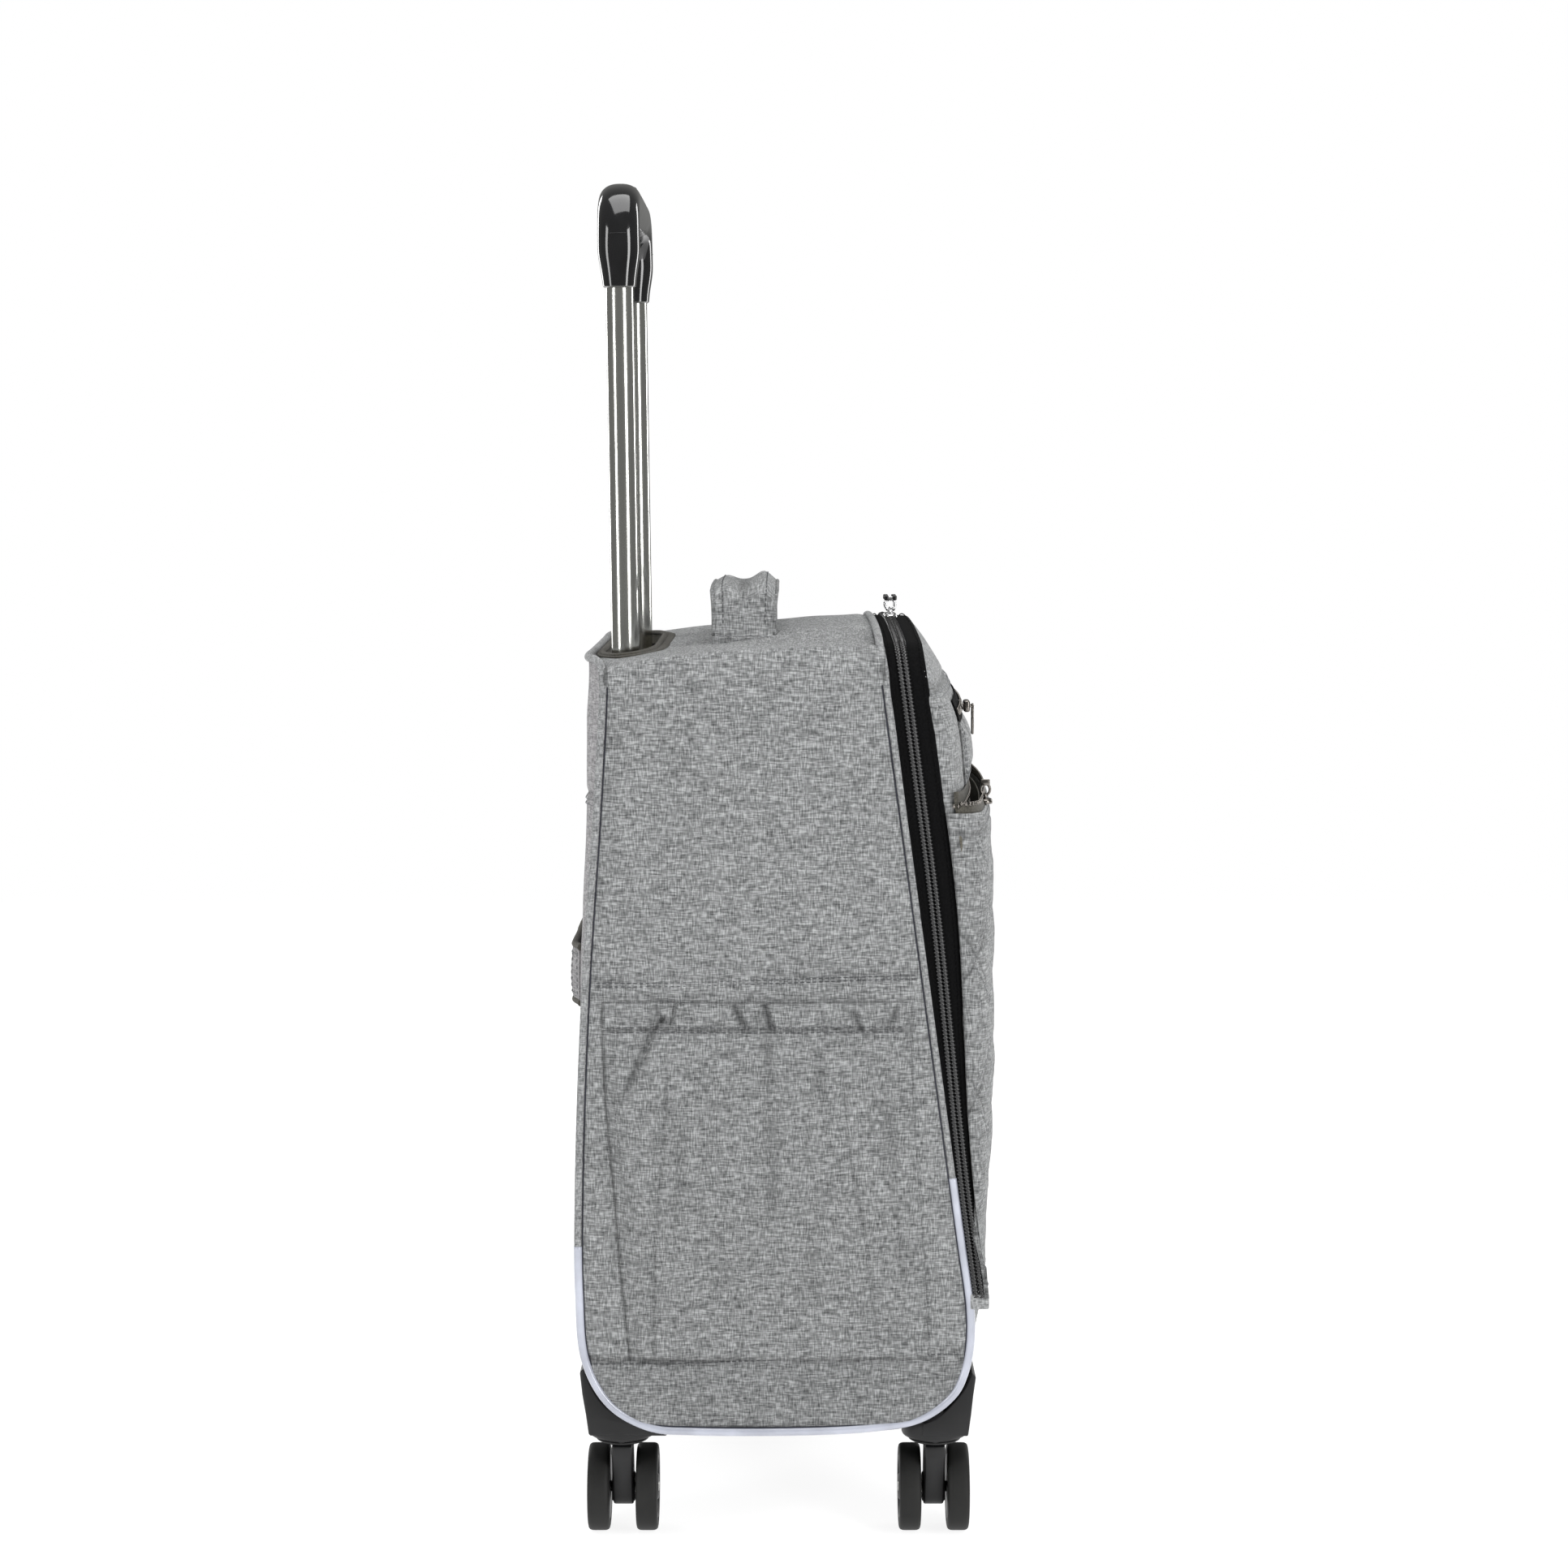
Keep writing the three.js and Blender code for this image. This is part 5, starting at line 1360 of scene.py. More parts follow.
def side_pockets():
    """Slack pockets with a gathered hem, two pleats and the creases of use."""
    rows, columns = 150, 230
    v = np.linspace(0, 1, rows)[:, None]
    u = np.linspace(0, 1, columns)[None, :]
    z = mix(POCKET_LOW_Z, POCKET_HIGH_Z, v) + 0 * u
    rear = np.interp(z, (112, 155, 205, 256, 300, 316), (89, 93.5, 97.3, 102, 103.8, 103.6))
    front = mix(-79, -69, smooth(z, 112, 300))
    y = mix(rear, front, u)
    edge = np.minimum(rear - y, y - front)
    rear_pleat = np.interp(z, (112, 180, 232, 290), (75.5, 74.7, 69.8, 66.5))
    front_pleat = np.interp(z, (112, 183, 229, 285), (-52, -43.7, -34.7, -29))
    full = mix(1.0, 7.4, smooth(z, 108, 220)) * (1 - 0.72 * smooth(z, 262, 314))
    out = 0.5 + full * smooth(rear - y, 0.0, 11) * smooth(y - front, 0.0, 62)
    groove = np.zeros_like(z)
    for line, top in ((rear_pleat, 284), (front_pleat, 278)):
        groove += np.exp(-((y - line) / 1.2) ** 2) * (1 - smooth(z, top - 8, top + 3))
    side_fold = 0.9 * ripple(y / 21, z / 90, 91) + 0.4 * ripple(y / 10, z / 45, 92)
    out += side_fold * smooth(edge, 3, 20) * smooth(z, 120, 150)
    out -= 0.8 * groove
    # dark gathers the painted shade that lies in the creases.
    dark = np.zeros_like(z)
    for (y0, z0), (y1, z1), width, deep in POCKET_CREASES:
        crease = crease_along(y, z, (y0, z0), (y1, z1), width)
        beside = crease_along(y, z, (y0 - 1.6 * width, z0), (y1 - 1.6 * width, z1), width)
        out += deep * (beside * 0.7 - crease)
        dark += 0.21 * deep * crease
    hem = smooth(z, HEM_Z - 1, HEM_Z + 1.5)
    gather = np.sin(2 * math.pi * (y / 13.7 + 0.5 * ripple(y / 33, 0 * z, 93)))
    gather = gather * (0.55 + 0.45 * ripple(y / 24, 0 * z, 94))
    fade = np.exp(-np.maximum(HEM_Z - z, 0) / 9.0) * (1 - 0.55 * hem)
    out += 0.85 * gather * fade * smooth(edge, 6, 16)
    out += 0.5 * hem - 1.2 * np.exp(-((z - HEM_Z) / 1.3) ** 2)
    # Painted shade: darker in the pleat grooves, along the hem line, in the creases and the hollows of the
    # gathers, in the shadow along the rear edge and along the bottom seam, and a little over the whole
    # pocket.
    shade = (1 - 0.22 * np.clip(groove, 0, 1)) * (1 - 0.3 * np.exp(-((z - HEM_Z) / 0.9) ** 2))
    shade = 0.94 * shade * (1 - np.clip(dark, 0, 0.45))
    shade = shade * (0.45 + 0.55 * smooth(rear - y, 0.2, 2.4))
    shade = shade * (1 - 0.14 * np.maximum(-gather, 0) * fade)
    shade = shade * (0.6 + 0.4 * smooth(z - POCKET_LOW_Z, 0, 2.5))
    for side, sign in SIDES:
        points = np.stack([sign * (SIDE_X + 0.4 + out), y, z], -1)
        piece = cloth(f"{side}_side_pocket_cloth", points, 1.3, (sign, 0, 0), FABRIC, "case",
                      f"{side}_side_pocket", shade=shade)
        lines = []
        for height in (HEM_Z - 0.6, HEM_Z + 2.0):
            row = int((height - POCKET_LOW_Z) / (POCKET_HIGH_Z - POCKET_LOW_Z) * (rows - 1))
            lines.append((points[row, 6:-6] + np.array([0.15 * sign, 0, 0]), (sign, 0, 0)))
        for line, top in ((rear_pleat, 280), (front_pleat, 272)):
            heights = np.linspace(POCKET_LOW_Z + 4, top, 60)
            picked = [(np.abs(z[:, 0] - height).argmin(), height) for height in heights]
            run = [points[row, np.abs(y[row] - line[row, 0]).argmin()] for row, _ in picked]
            lines.append((np.array(run) + np.array([0.1 * sign, 2.4, 0]), (sign, 0, 0)))
        stitches(f"{side}_pocket_stitching", lines, "case", DARK_THREAD, pitch=3.6, radius=0.26)


# ---- handles and straps ------------------------------------------------------------------------
HANDLE_Y, HANDLE_FOOT_X = 25, 93  # middle of the carry handle, and of its sewn feet


def carry_handle():
    """A padded grab handle: a folded cloth whose long edges are rolled, sewn down at both ends."""
    centre = Curve(((-95, 514.5), (-91, 521.5), (-87, 531), (-78, 539.5), (-55, 542.6), (0, 543.4),
                    (55, 542.6), (78, 539.5), (87, 531), (91, 521.5), (95, 514.5))).even(150)
    share = np.linspace(-1, 1, 150)
    middle = 1 - smooth(np.abs(share), 0.62, 0.9)
    y = np.linspace(-1, 1, 41)
    rear = np.exp(-((y - 0.62) / 0.30) ** 2)
    front = np.exp(-((y + 0.58) / 0.34) ** 2)
    rings = []
    for k, (x, z) in enumerate(centre):
        full = middle[k]
        half = 18.7 - 1.4 * (1 - full)
        gather = 0.35 * math.sin(k * 0.9) + 0.25 * float(ripple(k / 7.0, 0, 3))
        top = mix(2.2, 1.0 + 2.6 * rear + 5.2 * front + 0.5 * gather, full)
        edge = np.sqrt(np.clip(1 - np.abs(y) ** 6, 0, 1))
        low = -mix(1.2, 0.8 + 1.6 * rear + 1.2 * front, full) * edge
        high = top * edge
        run = centre[min(k + 1, 149)] - centre[max(k - 1, 0)]
        run /= np.linalg.norm(run)
        up = np.array([-run[1], run[0]])
        around = [*zip(y, high), *zip(y[::-1][1:-1], low[::-1][1:-1])]
        rings.append([(x + up[0] * h, HANDLE_Y + half * s, z + up[1] * h) for s, h in around])
    ring = np.array(rings)
    count = ring.shape[1]
    faces = list(grid_faces(len(ring), count, wrap=True))
    last = (len(ring) - 1) * count
    faces += [tuple(range(count)), tuple(range(last, last + count))]
    handle = mesh_object("carry_handle_cloth", ring.reshape(-1, 3), faces)
    # Painted shade: darker along the dip between the two rolled edges on top, and darker all over the
    # underside.
    dip = np.exp(-((y - 0.02) / 0.16) ** 2)
    tone = np.column_stack([1 - 0.4 * dip[None, :] * middle[:, None], np.full((len(ring), count - 41), 0.6)])
    paint(handle, tone)
    finish_piece(handle, FABRIC, "case", "carry_handle")
    parts = []
    for sign in (-1, 1):
        spots = [ring[k][40 if sign > 0 else 0] + np.array([0, 0.2 * sign, 0]) for k in range(2, 148)]
        parts.append(swept(np.array(spots), circle(1.25, 10), (0, 0.02, 1)))
    cloth_part("carry_handle_binding", parts, 0.8, FABRIC, "case")
    lines = []
    for column in (6, 34):
        spots = ring[6:-6, column]
        up = np.gradient(spots, axis=0)
        out = np.stack([-up[:, 2], 0 * up[:, 0], up[:, 0]], 1)
        lines.append((spots, out))
    stitches("carry_handle_stitching", lines, "case", DARK_THREAD)
    for side, sign in SIDES:
        x = sign * HANDLE_FOOT_X
        pad = rounded_box((x - 9, 7.0, 508.0), (x + 9, 43.0, 516.4), 1.6, 5)
        cloth_part(f"{side}_carry_handle_foot", [pad], 0.9, FABRIC, "case")
        corners = [(x - 7.5, 10.5), (x + 7.5, 10.5), (x + 7.5, 39.5), (x - 7.5, 39.5)]
        runs = []
        for (x0, y0), (x1, y1) in zip(corners, corners[1:] + corners[:1]):
            run = np.linspace((x0, y0, 516.5), (x1, y1, 516.5), 12)
            runs.append((run, (0, 0, 1)))
        stitches(f"{side}_handle_foot_stitching", runs, "case", THREAD)


def back_strap(name, node, half, low, high):
    """A flat strap of doubled cloth across the back, bound along both long edges."""
    panel = max(wall_point(0, 2)[1], wall_point(0, 2.5)[1]) + 0.9
    u = np.linspace(0, 1, 140)
    v = np.linspace(0, 1, 22)
    bow = 4.4 * smooth(4 * np.sin(math.pi * u), 0, 1)
    x = mix(-half, half, u)
    z = mix(low, high, v)
    ends = np.minimum(u, 1 - u) * 2 * half
    swell = 1.1 * np.sin(math.pi * v)[None, :] * smooth(ends, 4, 20)[:, None]
    wave = 0.35 * folds(x[:, None] / 26, z[None, :] / 20, int(low))
    y = panel + bow[:, None] + 0.6 + swell + wave * smooth(ends, 2, 12)[:, None]
    points = np.stack([x[:, None] + 0 * z[None, :], y, z[None, :] + 0 * x[:, None]], -1)
    edge = np.minimum(ends[:, None], np.minimum(z - low, high - z)[None, :])
    # Painted shade: darker towards the strap's edges.
    piece = cloth(name, points, 2.2, (0, 1, 0), BACK_FABRIC, "case", node,
                  shade=0.6 + 0.4 * smooth(edge, 0.5, 4))
    parts = []
    for column, shift in ((0, -0.2), (-1, 0.2)):
        spots = points[:, column] + np.array([0, -1.0, shift])
        parts.append(swept(spots, circle(1.9, 12), (0, 0.02, 1)))
    piece_of(name + "_binding", parts, BINDING, "case")
    lines = []
    for column in (3, -4):
        lines.append((points[3:-3, column] + np.array([0, 0.1, 0]), (0, 1, 0)))
    for row in (4, 9, -5, -10):
        lines.append((points[row, 2:-2] + np.array([0, 0.1, 0]), (0, 1, 0)))
    stitches(name + "_stitching", lines, "case")


# ---- inside ------------------------------------------------------------------------------------
COVER_Y, STRAP_Z = 66, 300


def inside():
    """The lining over the trolley tubes, and the tie straps with their buckle."""
    x, z, edge = upright_sheet(162, 76, 498, 110, 90)
    y = COVER_Y - 1.2 * folds(x / 50, z / 60, 101) * smooth(edge, 2, 25) - 0.4
    cloth("tube_cover_lining", np.stack([x, y, z], -1), 1.6, (0, -1, 0), LINING, "case", "tube_cover")
    zipline = np.array([(-140, 86), (-140, 480), (140, 480), (140, 86)], float)
    path = resample(zipline, 300)
    spots = np.column_stack([path[:, 0], np.full(300, COVER_Y - 2.4), path[:, 1]])
    coil("tube_cover_zip", spots, (0, -1, 0), "case", radius=1.6, pitch=2.6, flat=0.6)
    for side, sign in SIDES:
        run = np.linspace(24.4, 158, 70)[None, :] * sign
        v = np.linspace(-12, 12, 9)[:, None]
        sag = np.sin(np.linspace(0, math.pi, 70))
        grid = np.stack([run + 0 * v, COVER_Y - 3.0 - sag + 0 * v, STRAP_Z + v + 0 * run], -1)
        cloth(f"{side}_strap", grid, 1.3, (0, -1, 0), WEBBING, "case", f"{side}_tie_strap")
    parts = [rounded_box((-24, COVER_Y - 7.5, STRAP_Z - 16), (24, COVER_Y - 2.6, STRAP_Z + 16), 2.4, 5),
             rounded_box((-12, COVER_Y - 9.6, STRAP_Z - 11), (12, COVER_Y - 6.5, STRAP_Z + 11), 2.0, 5)]
    for dz in (-13, 13):
        parts.append(rounded_box((-20, COVER_Y - 8.6, STRAP_Z + dz - 1.2),
                                 (20, COVER_Y - 7, STRAP_Z + dz + 1.2), 0.8, 3))
    piece_of("strap_buckle", parts, MATTE, "case", "tie_strap_buckle")


# ---- trolley handle ------------------------------------------------------------------------------
def leaned(part):
    """Carries a part drawn about the tubes' upright axis into the leaning handle's place."""
    return moved(part, (0, TUBE_Y, 0), spin("x", -TUBE_LEAN))


TUBE_STAGES = (("outer", 10.6, (90, 452), "case"), ("middle", 9.3, (96, 456), "handle_middle"),
               ("inner", 8.0, (350, 734), "handle_upper"))


def tubes():
    """The three stages of both tubes, with the collars they slide in."""
    for stage, radius, (low, high), body in TUBE_STAGES:
        lip = 0.4
        profile = [(radius - 1, low), (radius - lip, low), (radius, low + lip), (radius, high - lip),
                   (radius - lip, high), (radius - 1, high)]
        heights = np.linspace(low + lip, high - lip, 14)
        profile[2:4] = [(radius, float(h)) for h in heights]
        for side, sign in SIDES:
            pipe = leaned(moved(turned(profile, 56), (sign * TUBE_X, 0, 0)))
            piece_of(f"{side}_{stage}_pipe", [pipe], STEEL, body, f"{side}_{stage}_tube")
    for side, sign in SIDES:
        collars = (("outer_guide", 10.7, 13.0, 441, 453.5, "case"),
                   ("middle_guide", 8.15, 9.9, 454.2, 458.2, "handle_middle"))
        for label, inner, outer, low, high, body in collars:
            profile = [(inner, low), (outer - 0.6, low), (outer, low + 0.6), (outer, high - 1),
                       (outer - 0.9, high), (inner, high)]
            ring = leaned(moved(turned(profile, 48), (sign * TUBE_X, 0, 0)))
            piece_of(f"{side}_{label}", [ring], MATTE, body)


def carve(obj, cutters):
    """Cuts solids out of an object for good, and removes them."""
    for cutter in cutters:
        modifier = obj.modifiers.new("carve", "BOOLEAN")
        modifier.object = cutter
        modifier.operation = "DIFFERENCE"
        modifier.solver = "EXACT"
    settle(obj)
    for cutter in cutters:
        bpy.data.objects.remove(cutter)


def settle(obj):
    """Applies an object's modifiers."""
    graph = bpy.context.evaluated_depsgraph_get()
    made = bpy.data.meshes.new_from_object(obj.evaluated_get(graph))
    obj.modifiers.clear()
    obj.data = made
    return obj


def stadium(half, radius, steps=20):
    angle = np.linspace(-math.pi / 2, math.pi / 2, steps)
    right = np.stack([half - radius + radius * np.cos(angle), radius * np.sin(angle)], 1)
    return np.concatenate([right, -right])


def grip():
    """The handle's bent bar, carved for the tubes and for the button that sits in it."""
    path = Curve(((-90, 714), (-90, 728), (-90, 743), (-84, 757.4), (-70, 763.7), (-40, 764.7), (0, 764.9),
                  (40, 764.7), (70, 763.7), (84, 757.4), (90, 743), (90, 728), (90, 714))).even(180)
    arm = np.abs(np.linspace(-1, 1, 180))
    half = 12.1 * (1 - 0.22 * smooth(arm, 0.82, 1))
    thick = 11 * (1 - 0.1 * smooth(arm, 0.85, 1))
    closing = np.sqrt(np.clip(1 - ((arm - 0.985) / 0.015).clip(0, 1) ** 2 * 0.55, 0, 1))
    angle = np.linspace(0, 2 * math.pi, 48, endpoint=False)
    blunt = 0.82
    section = np.stack([np.sign(np.cos(angle)) * np.abs(np.cos(angle)) ** blunt,
                        np.sign(np.sin(angle)) * np.abs(np.sin(angle)) ** blunt], 1)
    spots = np.column_stack([path[:, 0], 0 * arm, path[:, 1]])
    scale = np.stack([half * closing, thick * closing], 1)
    bar = swept(spots, section, (0, 1, 0), scale=scale[:, ::-1])
    body = joined_mesh("grip_bar", [leaned(bar)])
    recess = mesh_object("recess", *leaned(moved(prism(stadium(20.7, 8.3), 757, 790, "z"))))
    slots = [recess]
    for x in (-90, 90):
        bore = leaned(moved(solid_turned([(0, 700), (8.3, 700), (8.3, 734.6), (0, 734.6)], 48), (x, 0, 0)))
        slots.append(mesh_object("bore", *bore))
    carve(body, slots)
    for polygon in body.data.polygons:
        polygon.use_smooth = True
    body.data.set_sharp_from_angle(angle=math.radians(38))
    finish_piece(body, GLOSS, "handle_upper", "grip")
    for side, sign in SIDES:
        ring = [(sign * 90 + 11.35 * math.cos(a) * 0.97, 12.15 * math.sin(a) * 0.995, 745)
                for a in np.linspace(0, 2 * math.pi, 72, endpoint=False)]
        line = leaned(swept(np.array(ring), circle(0.22, 6), (0, 0, 1), closed=True))
        piece_of(f"{side}_grip_parting_line", [line], MATTE, "handle_upper")
    button = mesh_object("push_button", *leaned(prism(stadium(20, 7.6), 762, 778, "z")))
    bevelled(button, 2.0, 5, 50)
    button.data.set_sharp_from_angle(angle=math.radians(50))
    finish_piece(button, GLOSS, "release", "release_button")
    ribs = [leaned(rounded_box((x - 0.7, -4.6, 777.4), (x + 0.7, 4.6, 778.6), 0.5, 2))
            for x in range(-12, 13, 4)]
    piece_of("push_button_ribs", ribs, GLOSS, "release")


# ---- handle well ---------------------------------------------------------------------------------
def well_outline(count=160):
    x = np.linspace(-WELL_X, WELL_X, 400)
    front = np.stack([x, well_front(x)], 1)
    rear = np.stack([x[::-1], well_rear(x[::-1])], 1)
    return resample(np.concatenate([front, rear, front[:1]]), count + 1)[:-1]


def handle_well():
    """The mouth that the trolley handle comes out of: lip, flat binding and wall lining."""
    outline = well_outline()
    height = top_height(outline[:, 0], outline[:, 1])
    centre = np.array([0, 91.5])
    lip = np.column_stack([outline, height + 1.0])
    cord = swept(lip, circle(1.9, 12, 0.8), (0, 0, 1), closed=True)
    piece_of("well_lip_cord", [cord], BINDING, "case", "well_zipper_lips")
    away = outline - np.column_stack([outline[:, 0] * 0.985, np.full(len(outline), centre[1])])
    away /= np.linalg.norm(away, axis=1, keepdims=True)
    rows = []
    for share, lift in ((0.0, 0.9), (0.35, 1.1), (0.8, 0.95), (1.0, 0.3)):
        ring = outline + away * (6.5 - 2.6 * np.clip(away[:, 1:], 0, 1)) * share
        rows.append(np.column_stack([ring, top_height(ring[:, 0], ring[:, 1]) + lift]))
    closed_sheet("well_binding", np.array(rows), 0.8, BINDING)
    rows = []
    for share in np.linspace(0, 1, 12):
        shrink = mix(1.0, 0.965, float(smooth(share, 0, 0.5)))
        ring = np.column_stack([outline[:, 0] * shrink, centre[1] + (outline[:, 1] - centre[1]) * shrink])
        top = height + 0.2
        z = mix(top, 451.0, share)
        wave = 0.5 * folds(outline[:, 0] / 16, z / 20, 111) * math.sin(math.pi * share)
        rows.append(np.column_stack([ring[:, 0], ring[:, 1] + wave, z]))
    closed_sheet("well_wall_lining", np.array(rows), 0.6, LINING)


def closed_sheet(name, rings, thickness, material):
    """A band of cloth that runs round a closed loop."""
    rings = np.concatenate([rings, rings[:, :1]], axis=1)
    across = np.gradient(rings, axis=0)
    along_ring = np.gradient(rings, axis=1)
    along_ring[:, 0] = along_ring[:, -1] = rings[:, 1] - rings[:, -2]
    normal = np.cross(across, along_ring)
    normal /= np.linalg.norm(normal, axis=-1, keepdims=True) + 1e-12
    inner = rings - normal * thickness
    count = rings.shape[1] - 1
    outer, inner = rings[:, :-1].reshape(-1, 3), inner[:, :-1].reshape(-1, 3)
    faces = grid_faces(rings.shape[0], count, wrap=True)
    far = faces[:, ::-1] + len(outer)
    last = (rings.shape[0] - 1) * count
    rim = [(k, (k + 1) % count, (k + 1) % count + len(outer), k + len(outer)) for k in range(count)]
    rim += [(last + k, last + (k + 1) % count, last + (k + 1) % count + len(outer), last + k + len(outer))
            for k in range(count)]
    obj = mesh_object(name, np.concatenate([outer, inner]), [*faces, *far, *rim])
    paint(obj, np.ones(2 * len(outer)))
    return finish_piece(obj, material, "case")


# ---- casters -------------------------------------------------------------------------------------
CASTER_X, WHEEL_R, TRAIL = 138, 25, 12
CASTER_PLACES = {"left_rear": (-1, 94.8, 1, 0.0), "left_front": (-1, -84.5, -1, 0.0),
                 "right_rear": (1, 94.8, 1, -math.pi / 2), "right_front": (1, -84.5, -1, math.pi / 2)}


def housing_outline(outward, centre_y):
    """[y, z] of a corner guard, which hugs the case's outline and reaches down to the drum."""
    span = (5.25, 7.6) if outward > 0 else (9.6, 12.0)
    k = np.linspace(*span, 24)
    guard = wall_point(0 * k + CASTER_X - 19, k, -0.5)[:, 1:]
    if outward < 0:
        guard = guard[::-1]
    rim_z = guard[0, 1]
    outer_y = guard[0, 0] + (3.2 if outward > 0 else 2.4) * outward
    edge = centre_y + outward * 18.4
    tail = [(guard[-1, 0], 63.9), (edge, 63.9), (edge + outward * 1.6, 76),
            (outer_y - outward * 1.4, 88), (outer_y, rim_z - 3)]
    return np.concatenate([guard, tail])


def casters():
    """Corner guards with their swivel drums, and a caster under each."""
    for name, (sign, centre_y, outward, turn) in CASTER_PLACES.items():
        x = sign * CASTER_X
        block = moved(prism(housing_outline(outward, centre_y), -19, 19, "x"), (x, 0, 0))
        guard = mesh_object(f"{name}_guard", *block)
        bevelled(guard, 1.6, 4, 30)
        finish_piece(guard, MATTE, "case", f"{name}_caster_housing")
        drum = turned([(5.4, 59.3), (15.6, 59.3), (18.4, 60.7), (19, 61.9), (19, 78), (5.4, 78)], 64)
        parts = [moved(drum, (x, centre_y, 0))]
        for dx, dy in ((-13, 0), (13, 0)):
            screw = solid_turned([(0, 58.6), (2.1, 58.6), (2.6, 59.2), (2.6, 60.5), (0, 60.5)], 24)
            parts.append(moved(screw, (x + dx, centre_y + dy, 0)))
        for k in (-1, 1):
            parts.append(rounded_box((x + 12.4 * k - 1.1, min(centre_y, centre_y + 17 * outward), 66),
                                     (x + 12.4 * k + 1.1, max(centre_y, centre_y + 17 * outward), 80), 1, 3))
        piece_of(f"{name}_drum", parts, MATTE, "case")
        caster(name, x, centre_y, turn)


def caster(name, x, y, turn):
    """Fork, axle and two wheels, drawn about the swivel's axis and turned into place."""
    place = lambda part: moved(part, (x, y, 0), spin("z", turn))
    body = f"{name}_caster"
    leg_outline = Curve(((-11, 55.5), (11, 55.5), (16.5, 47), (22.2, 33), (22.2, 25), (19, 17.8), (12, 14.8),
                         (5, 17.8), (1.6, 25), (-5, 38), (-11, 50))).even(48)
    leg = mesh_object(f"{name}_fork_leg", *place(prism(leg_outline, -5.8, 5.8, "y")))
    bevelled(leg, 1.1, 3, 40)
    finish_piece(leg, MATTE, body, f"{name}_caster_fork")
    flare = [(4, 53), (6.4, 53.4), (7.4, 54.8), (9.2, 56), (13.8, 57.2), (15, 57.9), (15, 58.6),
             (14.6, 58.9), (4, 58.9)]
    parts = [turned(flare, 56),
             turned([(0.6, 54), (5, 54), (5, 65.4), (4.4, 66), (0.6, 66)], 32)]
    barrel = turned([(2.8, -6.6), (8.0, -6.6), (8.6, -6.0), (8.6, 6.0), (8.0, 6.6), (2.8, 6.6)], 40)
    parts.append(moved(barrel, (TRAIL, 0, WHEEL_R), spin("x", math.pi / 2)))
    piece_of(f"{name}_fork_top", [place(p) for p in parts], MATTE, body)
    pin = turned([(0.4, -20.4), (2.6, -20.4), (3.1, -19.9), (3.1, 19.9), (2.6, 20.4), (0.4, 20.4)], 28)
    piece_of(f"{name}_axle", [place(moved(pin, (TRAIL, 0, WHEEL_R), spin("x", math.pi / 2)))],
                 STEEL, body)
    for label, sign in (("a", -1), ("b", 1)):
        wheel(f"{name}_wheel_{label}", sign, place)


def wheel(name, sign, place):
    """Drawn about Z with the outer face up, then laid on its axle."""
    shoulder = [(22.6, 6.2), (23.7, 5.95), (24.5, 5.2), (24.9, 4.1), (24.98, 2.6), (24.98, 0.9)]
    tyre = [(18.4, -6.1), *((r, -z) for r, z in shoulder), *shoulder[::-1], (18.4, 6.1)]
    hub = [(3.4, -6.1), (18.6, -6.1), (18.6, 5.6), (17.6, 6.2), (16.4, 5.8), (15.6, 3.6), (8.6, 3.2),
           (7.6, 5.6), (6.6, 6.4), (3.4, 6.4)]
    basis = spin("x", -math.pi / 2 * sign)
    spot = (TRAIL, sign * 13.9, WHEEL_R)
    piece_of(name + "_tyre", [place(moved(turned(tyre, 96), spot, basis))], RUBBER, name, name)
    parts = [turned(hub, 72)]
    for k in range(9):
        rib = rounded_box((7.6, -0.9, 1), (16.4, 0.9, 4.9), 0.6, 2)
        parts.append(moved(rib, (0, 0, 0), spin("z", k * 2 * math.pi / 9)))
    piece_of(name + "_hub", [place(moved(p, spot, basis)) for p in parts], MATTE, name)


# ---- CAD pieces that stay ------------------------------------------------------------------------
def kept_nodes():
    """Gives the plain CAD pieces that stay in view their materials."""
    kept = (("handle_well_tray", MATTE), ("tube_foot_bracket", MATTE), ("release_yoke", STEEL))
    for node, material in kept:
        obj = bpy.data.objects[node]
        obj.data.materials.clear()
        obj.data.materials.append(material)


# ---- stage ---------------------------------------------------------------------------------------
def plain(name, colour, roughness, glow):
    """A pale surface that also glows, so that it stays white beyond the lamps' reach."""
    n = Nodes(name)
    place = n.node("TexCoord").outputs["Object"]
    tone = n.ramp(n.noise(place, 0.6, 2), ((0.3, colour), (0.7, tuple(c * 0.985 for c in colour))))
    return n.set(Base_Color=tone, Roughness=roughness, Specular_IOR_Level=0.1,
                 Emission_Color=(1, 1, 1, 1), Emission_Strength=glow)


def area_light(name, place, aim, size, power):
    data = bpy.data.lights.new(name, "AREA")
    data.shape = "RECTANGLE"
    data.size, data.size_y = size
    data.energy = power
    light = bpy.data.objects.new(name, data)
    bpy.context.scene.collection.objects.link(light)
    light.location = place
    direction = np.array(aim, float) - np.array(place, float)
    yaw = math.atan2(direction[1], direction[0])
    pitch = math.atan2(-direction[2], math.hypot(direction[0], direction[1]))
    light.rotation_euler = (math.pi / 2 - pitch, 0, yaw - math.pi / 2)
    light.visible_camera = False
    return light


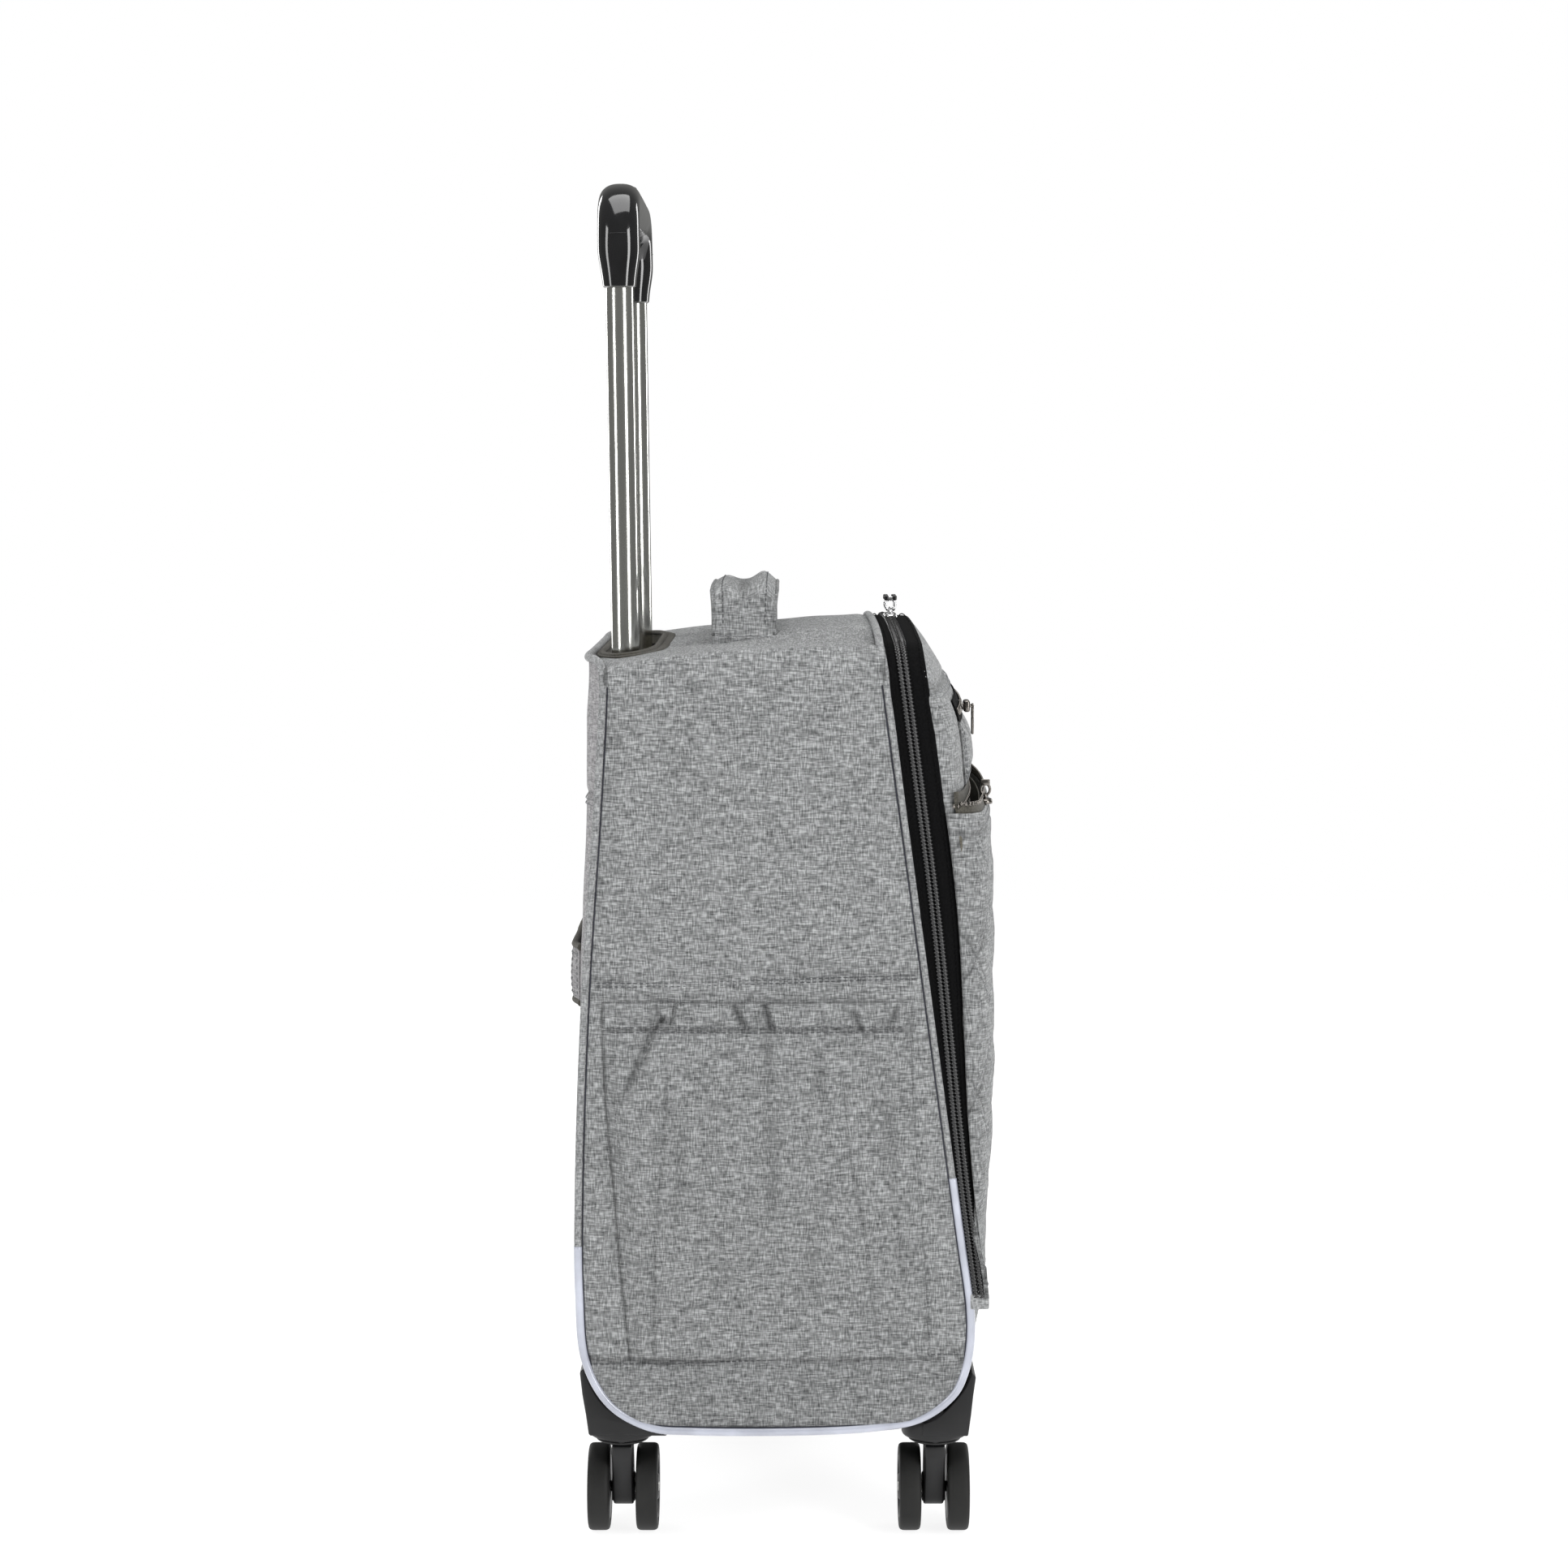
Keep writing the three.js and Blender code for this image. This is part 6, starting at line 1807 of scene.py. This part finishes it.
def stage():
    """Floor, studio world, lamps and camera."""
    floor = mesh_object("floor", *rounded_box((-2600, -2600, -20), (2600, 2600, -0.05), 5, 1))
    floor.data.materials.append(plain("pale_floor", (0.34, 0.34, 0.34), 0.8, 0.86))
    world = bpy.data.worlds.new("studio")
    bpy.context.scene.world = world
    world.use_nodes = True
    tree = world.node_tree
    lighting = tree.nodes["Background"]
    path, seen, mirrored, shiny, chosen = (
        tree.nodes.new("ShaderNode" + kind)
        for kind in ("LightPath", "Background", "Background", "MixShader", "MixShader"))
    # What lights the object, what the camera sees behind it, and what glossy surfaces mirror.
    for node, colour in ((lighting, (0.93, 0.93, 0.93, 1)), (seen, (1, 1, 1, 1)),
                         (mirrored, (0.20, 0.20, 0.195, 1))):
        node.inputs["Color"].default_value = colour
    lighting.inputs["Strength"].default_value = 0.55
    for mixer, test, otherwise, chosen_when in (
            (shiny, "Is Glossy Ray", lighting, mirrored), (chosen, "Is Camera Ray", shiny, seen)):
        for socket, source in enumerate((path.outputs[test], otherwise.outputs[0], chosen_when.outputs[0])):
            tree.links.new(source, mixer.inputs[socket])
    tree.links.new(chosen.outputs[0], tree.nodes["World Output"].inputs["Surface"])
    for name, place, aim_z, size, power in (
            ("key", (-1.7, -1.35, 0.9), 0.45, (0.55, 1.8), 24),
            ("fill", (-1.5, 1.75, 0.9), 0.45, (0.5, 1.8), 17),
            ("top", (-0.3, -0.1, 2.3), 0.4, (1.6, 1.6), 26),
            ("far_front", (1.5, -1.7, 0.9), 0.45, (0.5, 1.8), 16),
            ("far_back", (1.7, 1.4, 0.9), 0.45, (0.5, 1.8), 16)):
        area_light(name, place, (0, 0, aim_z), size, power)
    scene = bpy.context.scene
    scene.view_settings.view_transform = "Standard"
    data = bpy.data.cameras.new("camera")
    data.lens, data.sensor_width = 74.35, 36
    camera = bpy.data.objects.new("camera", data)
    scene.collection.objects.link(camera)
    camera.location = (-1.955, 0.002, 0.6147)
    camera.rotation_euler = (math.radians(84.36), 0, math.radians(-90))
    scene.camera = camera


def build():
    hood()
    side_stitching()
    walls()
    piping()
    lid()
    lower_pocket_zip(*quilted_pocket())
    upper_pocket()
    mesh_divider()
    lid_hinge_strip()
    main_zipper()
    main_sliders()
    side_pockets()
    carry_handle()
    back_strap("sleeve_strap", "trolley_sleeve_strap", 112, 306, 338)
    back_strap("grab_strap", "rear_grab_handle", 95, 154, 198)
    inside()
    tubes()
    grip()
    handle_well()
    casters()
    kept_nodes()
    stage()


build()
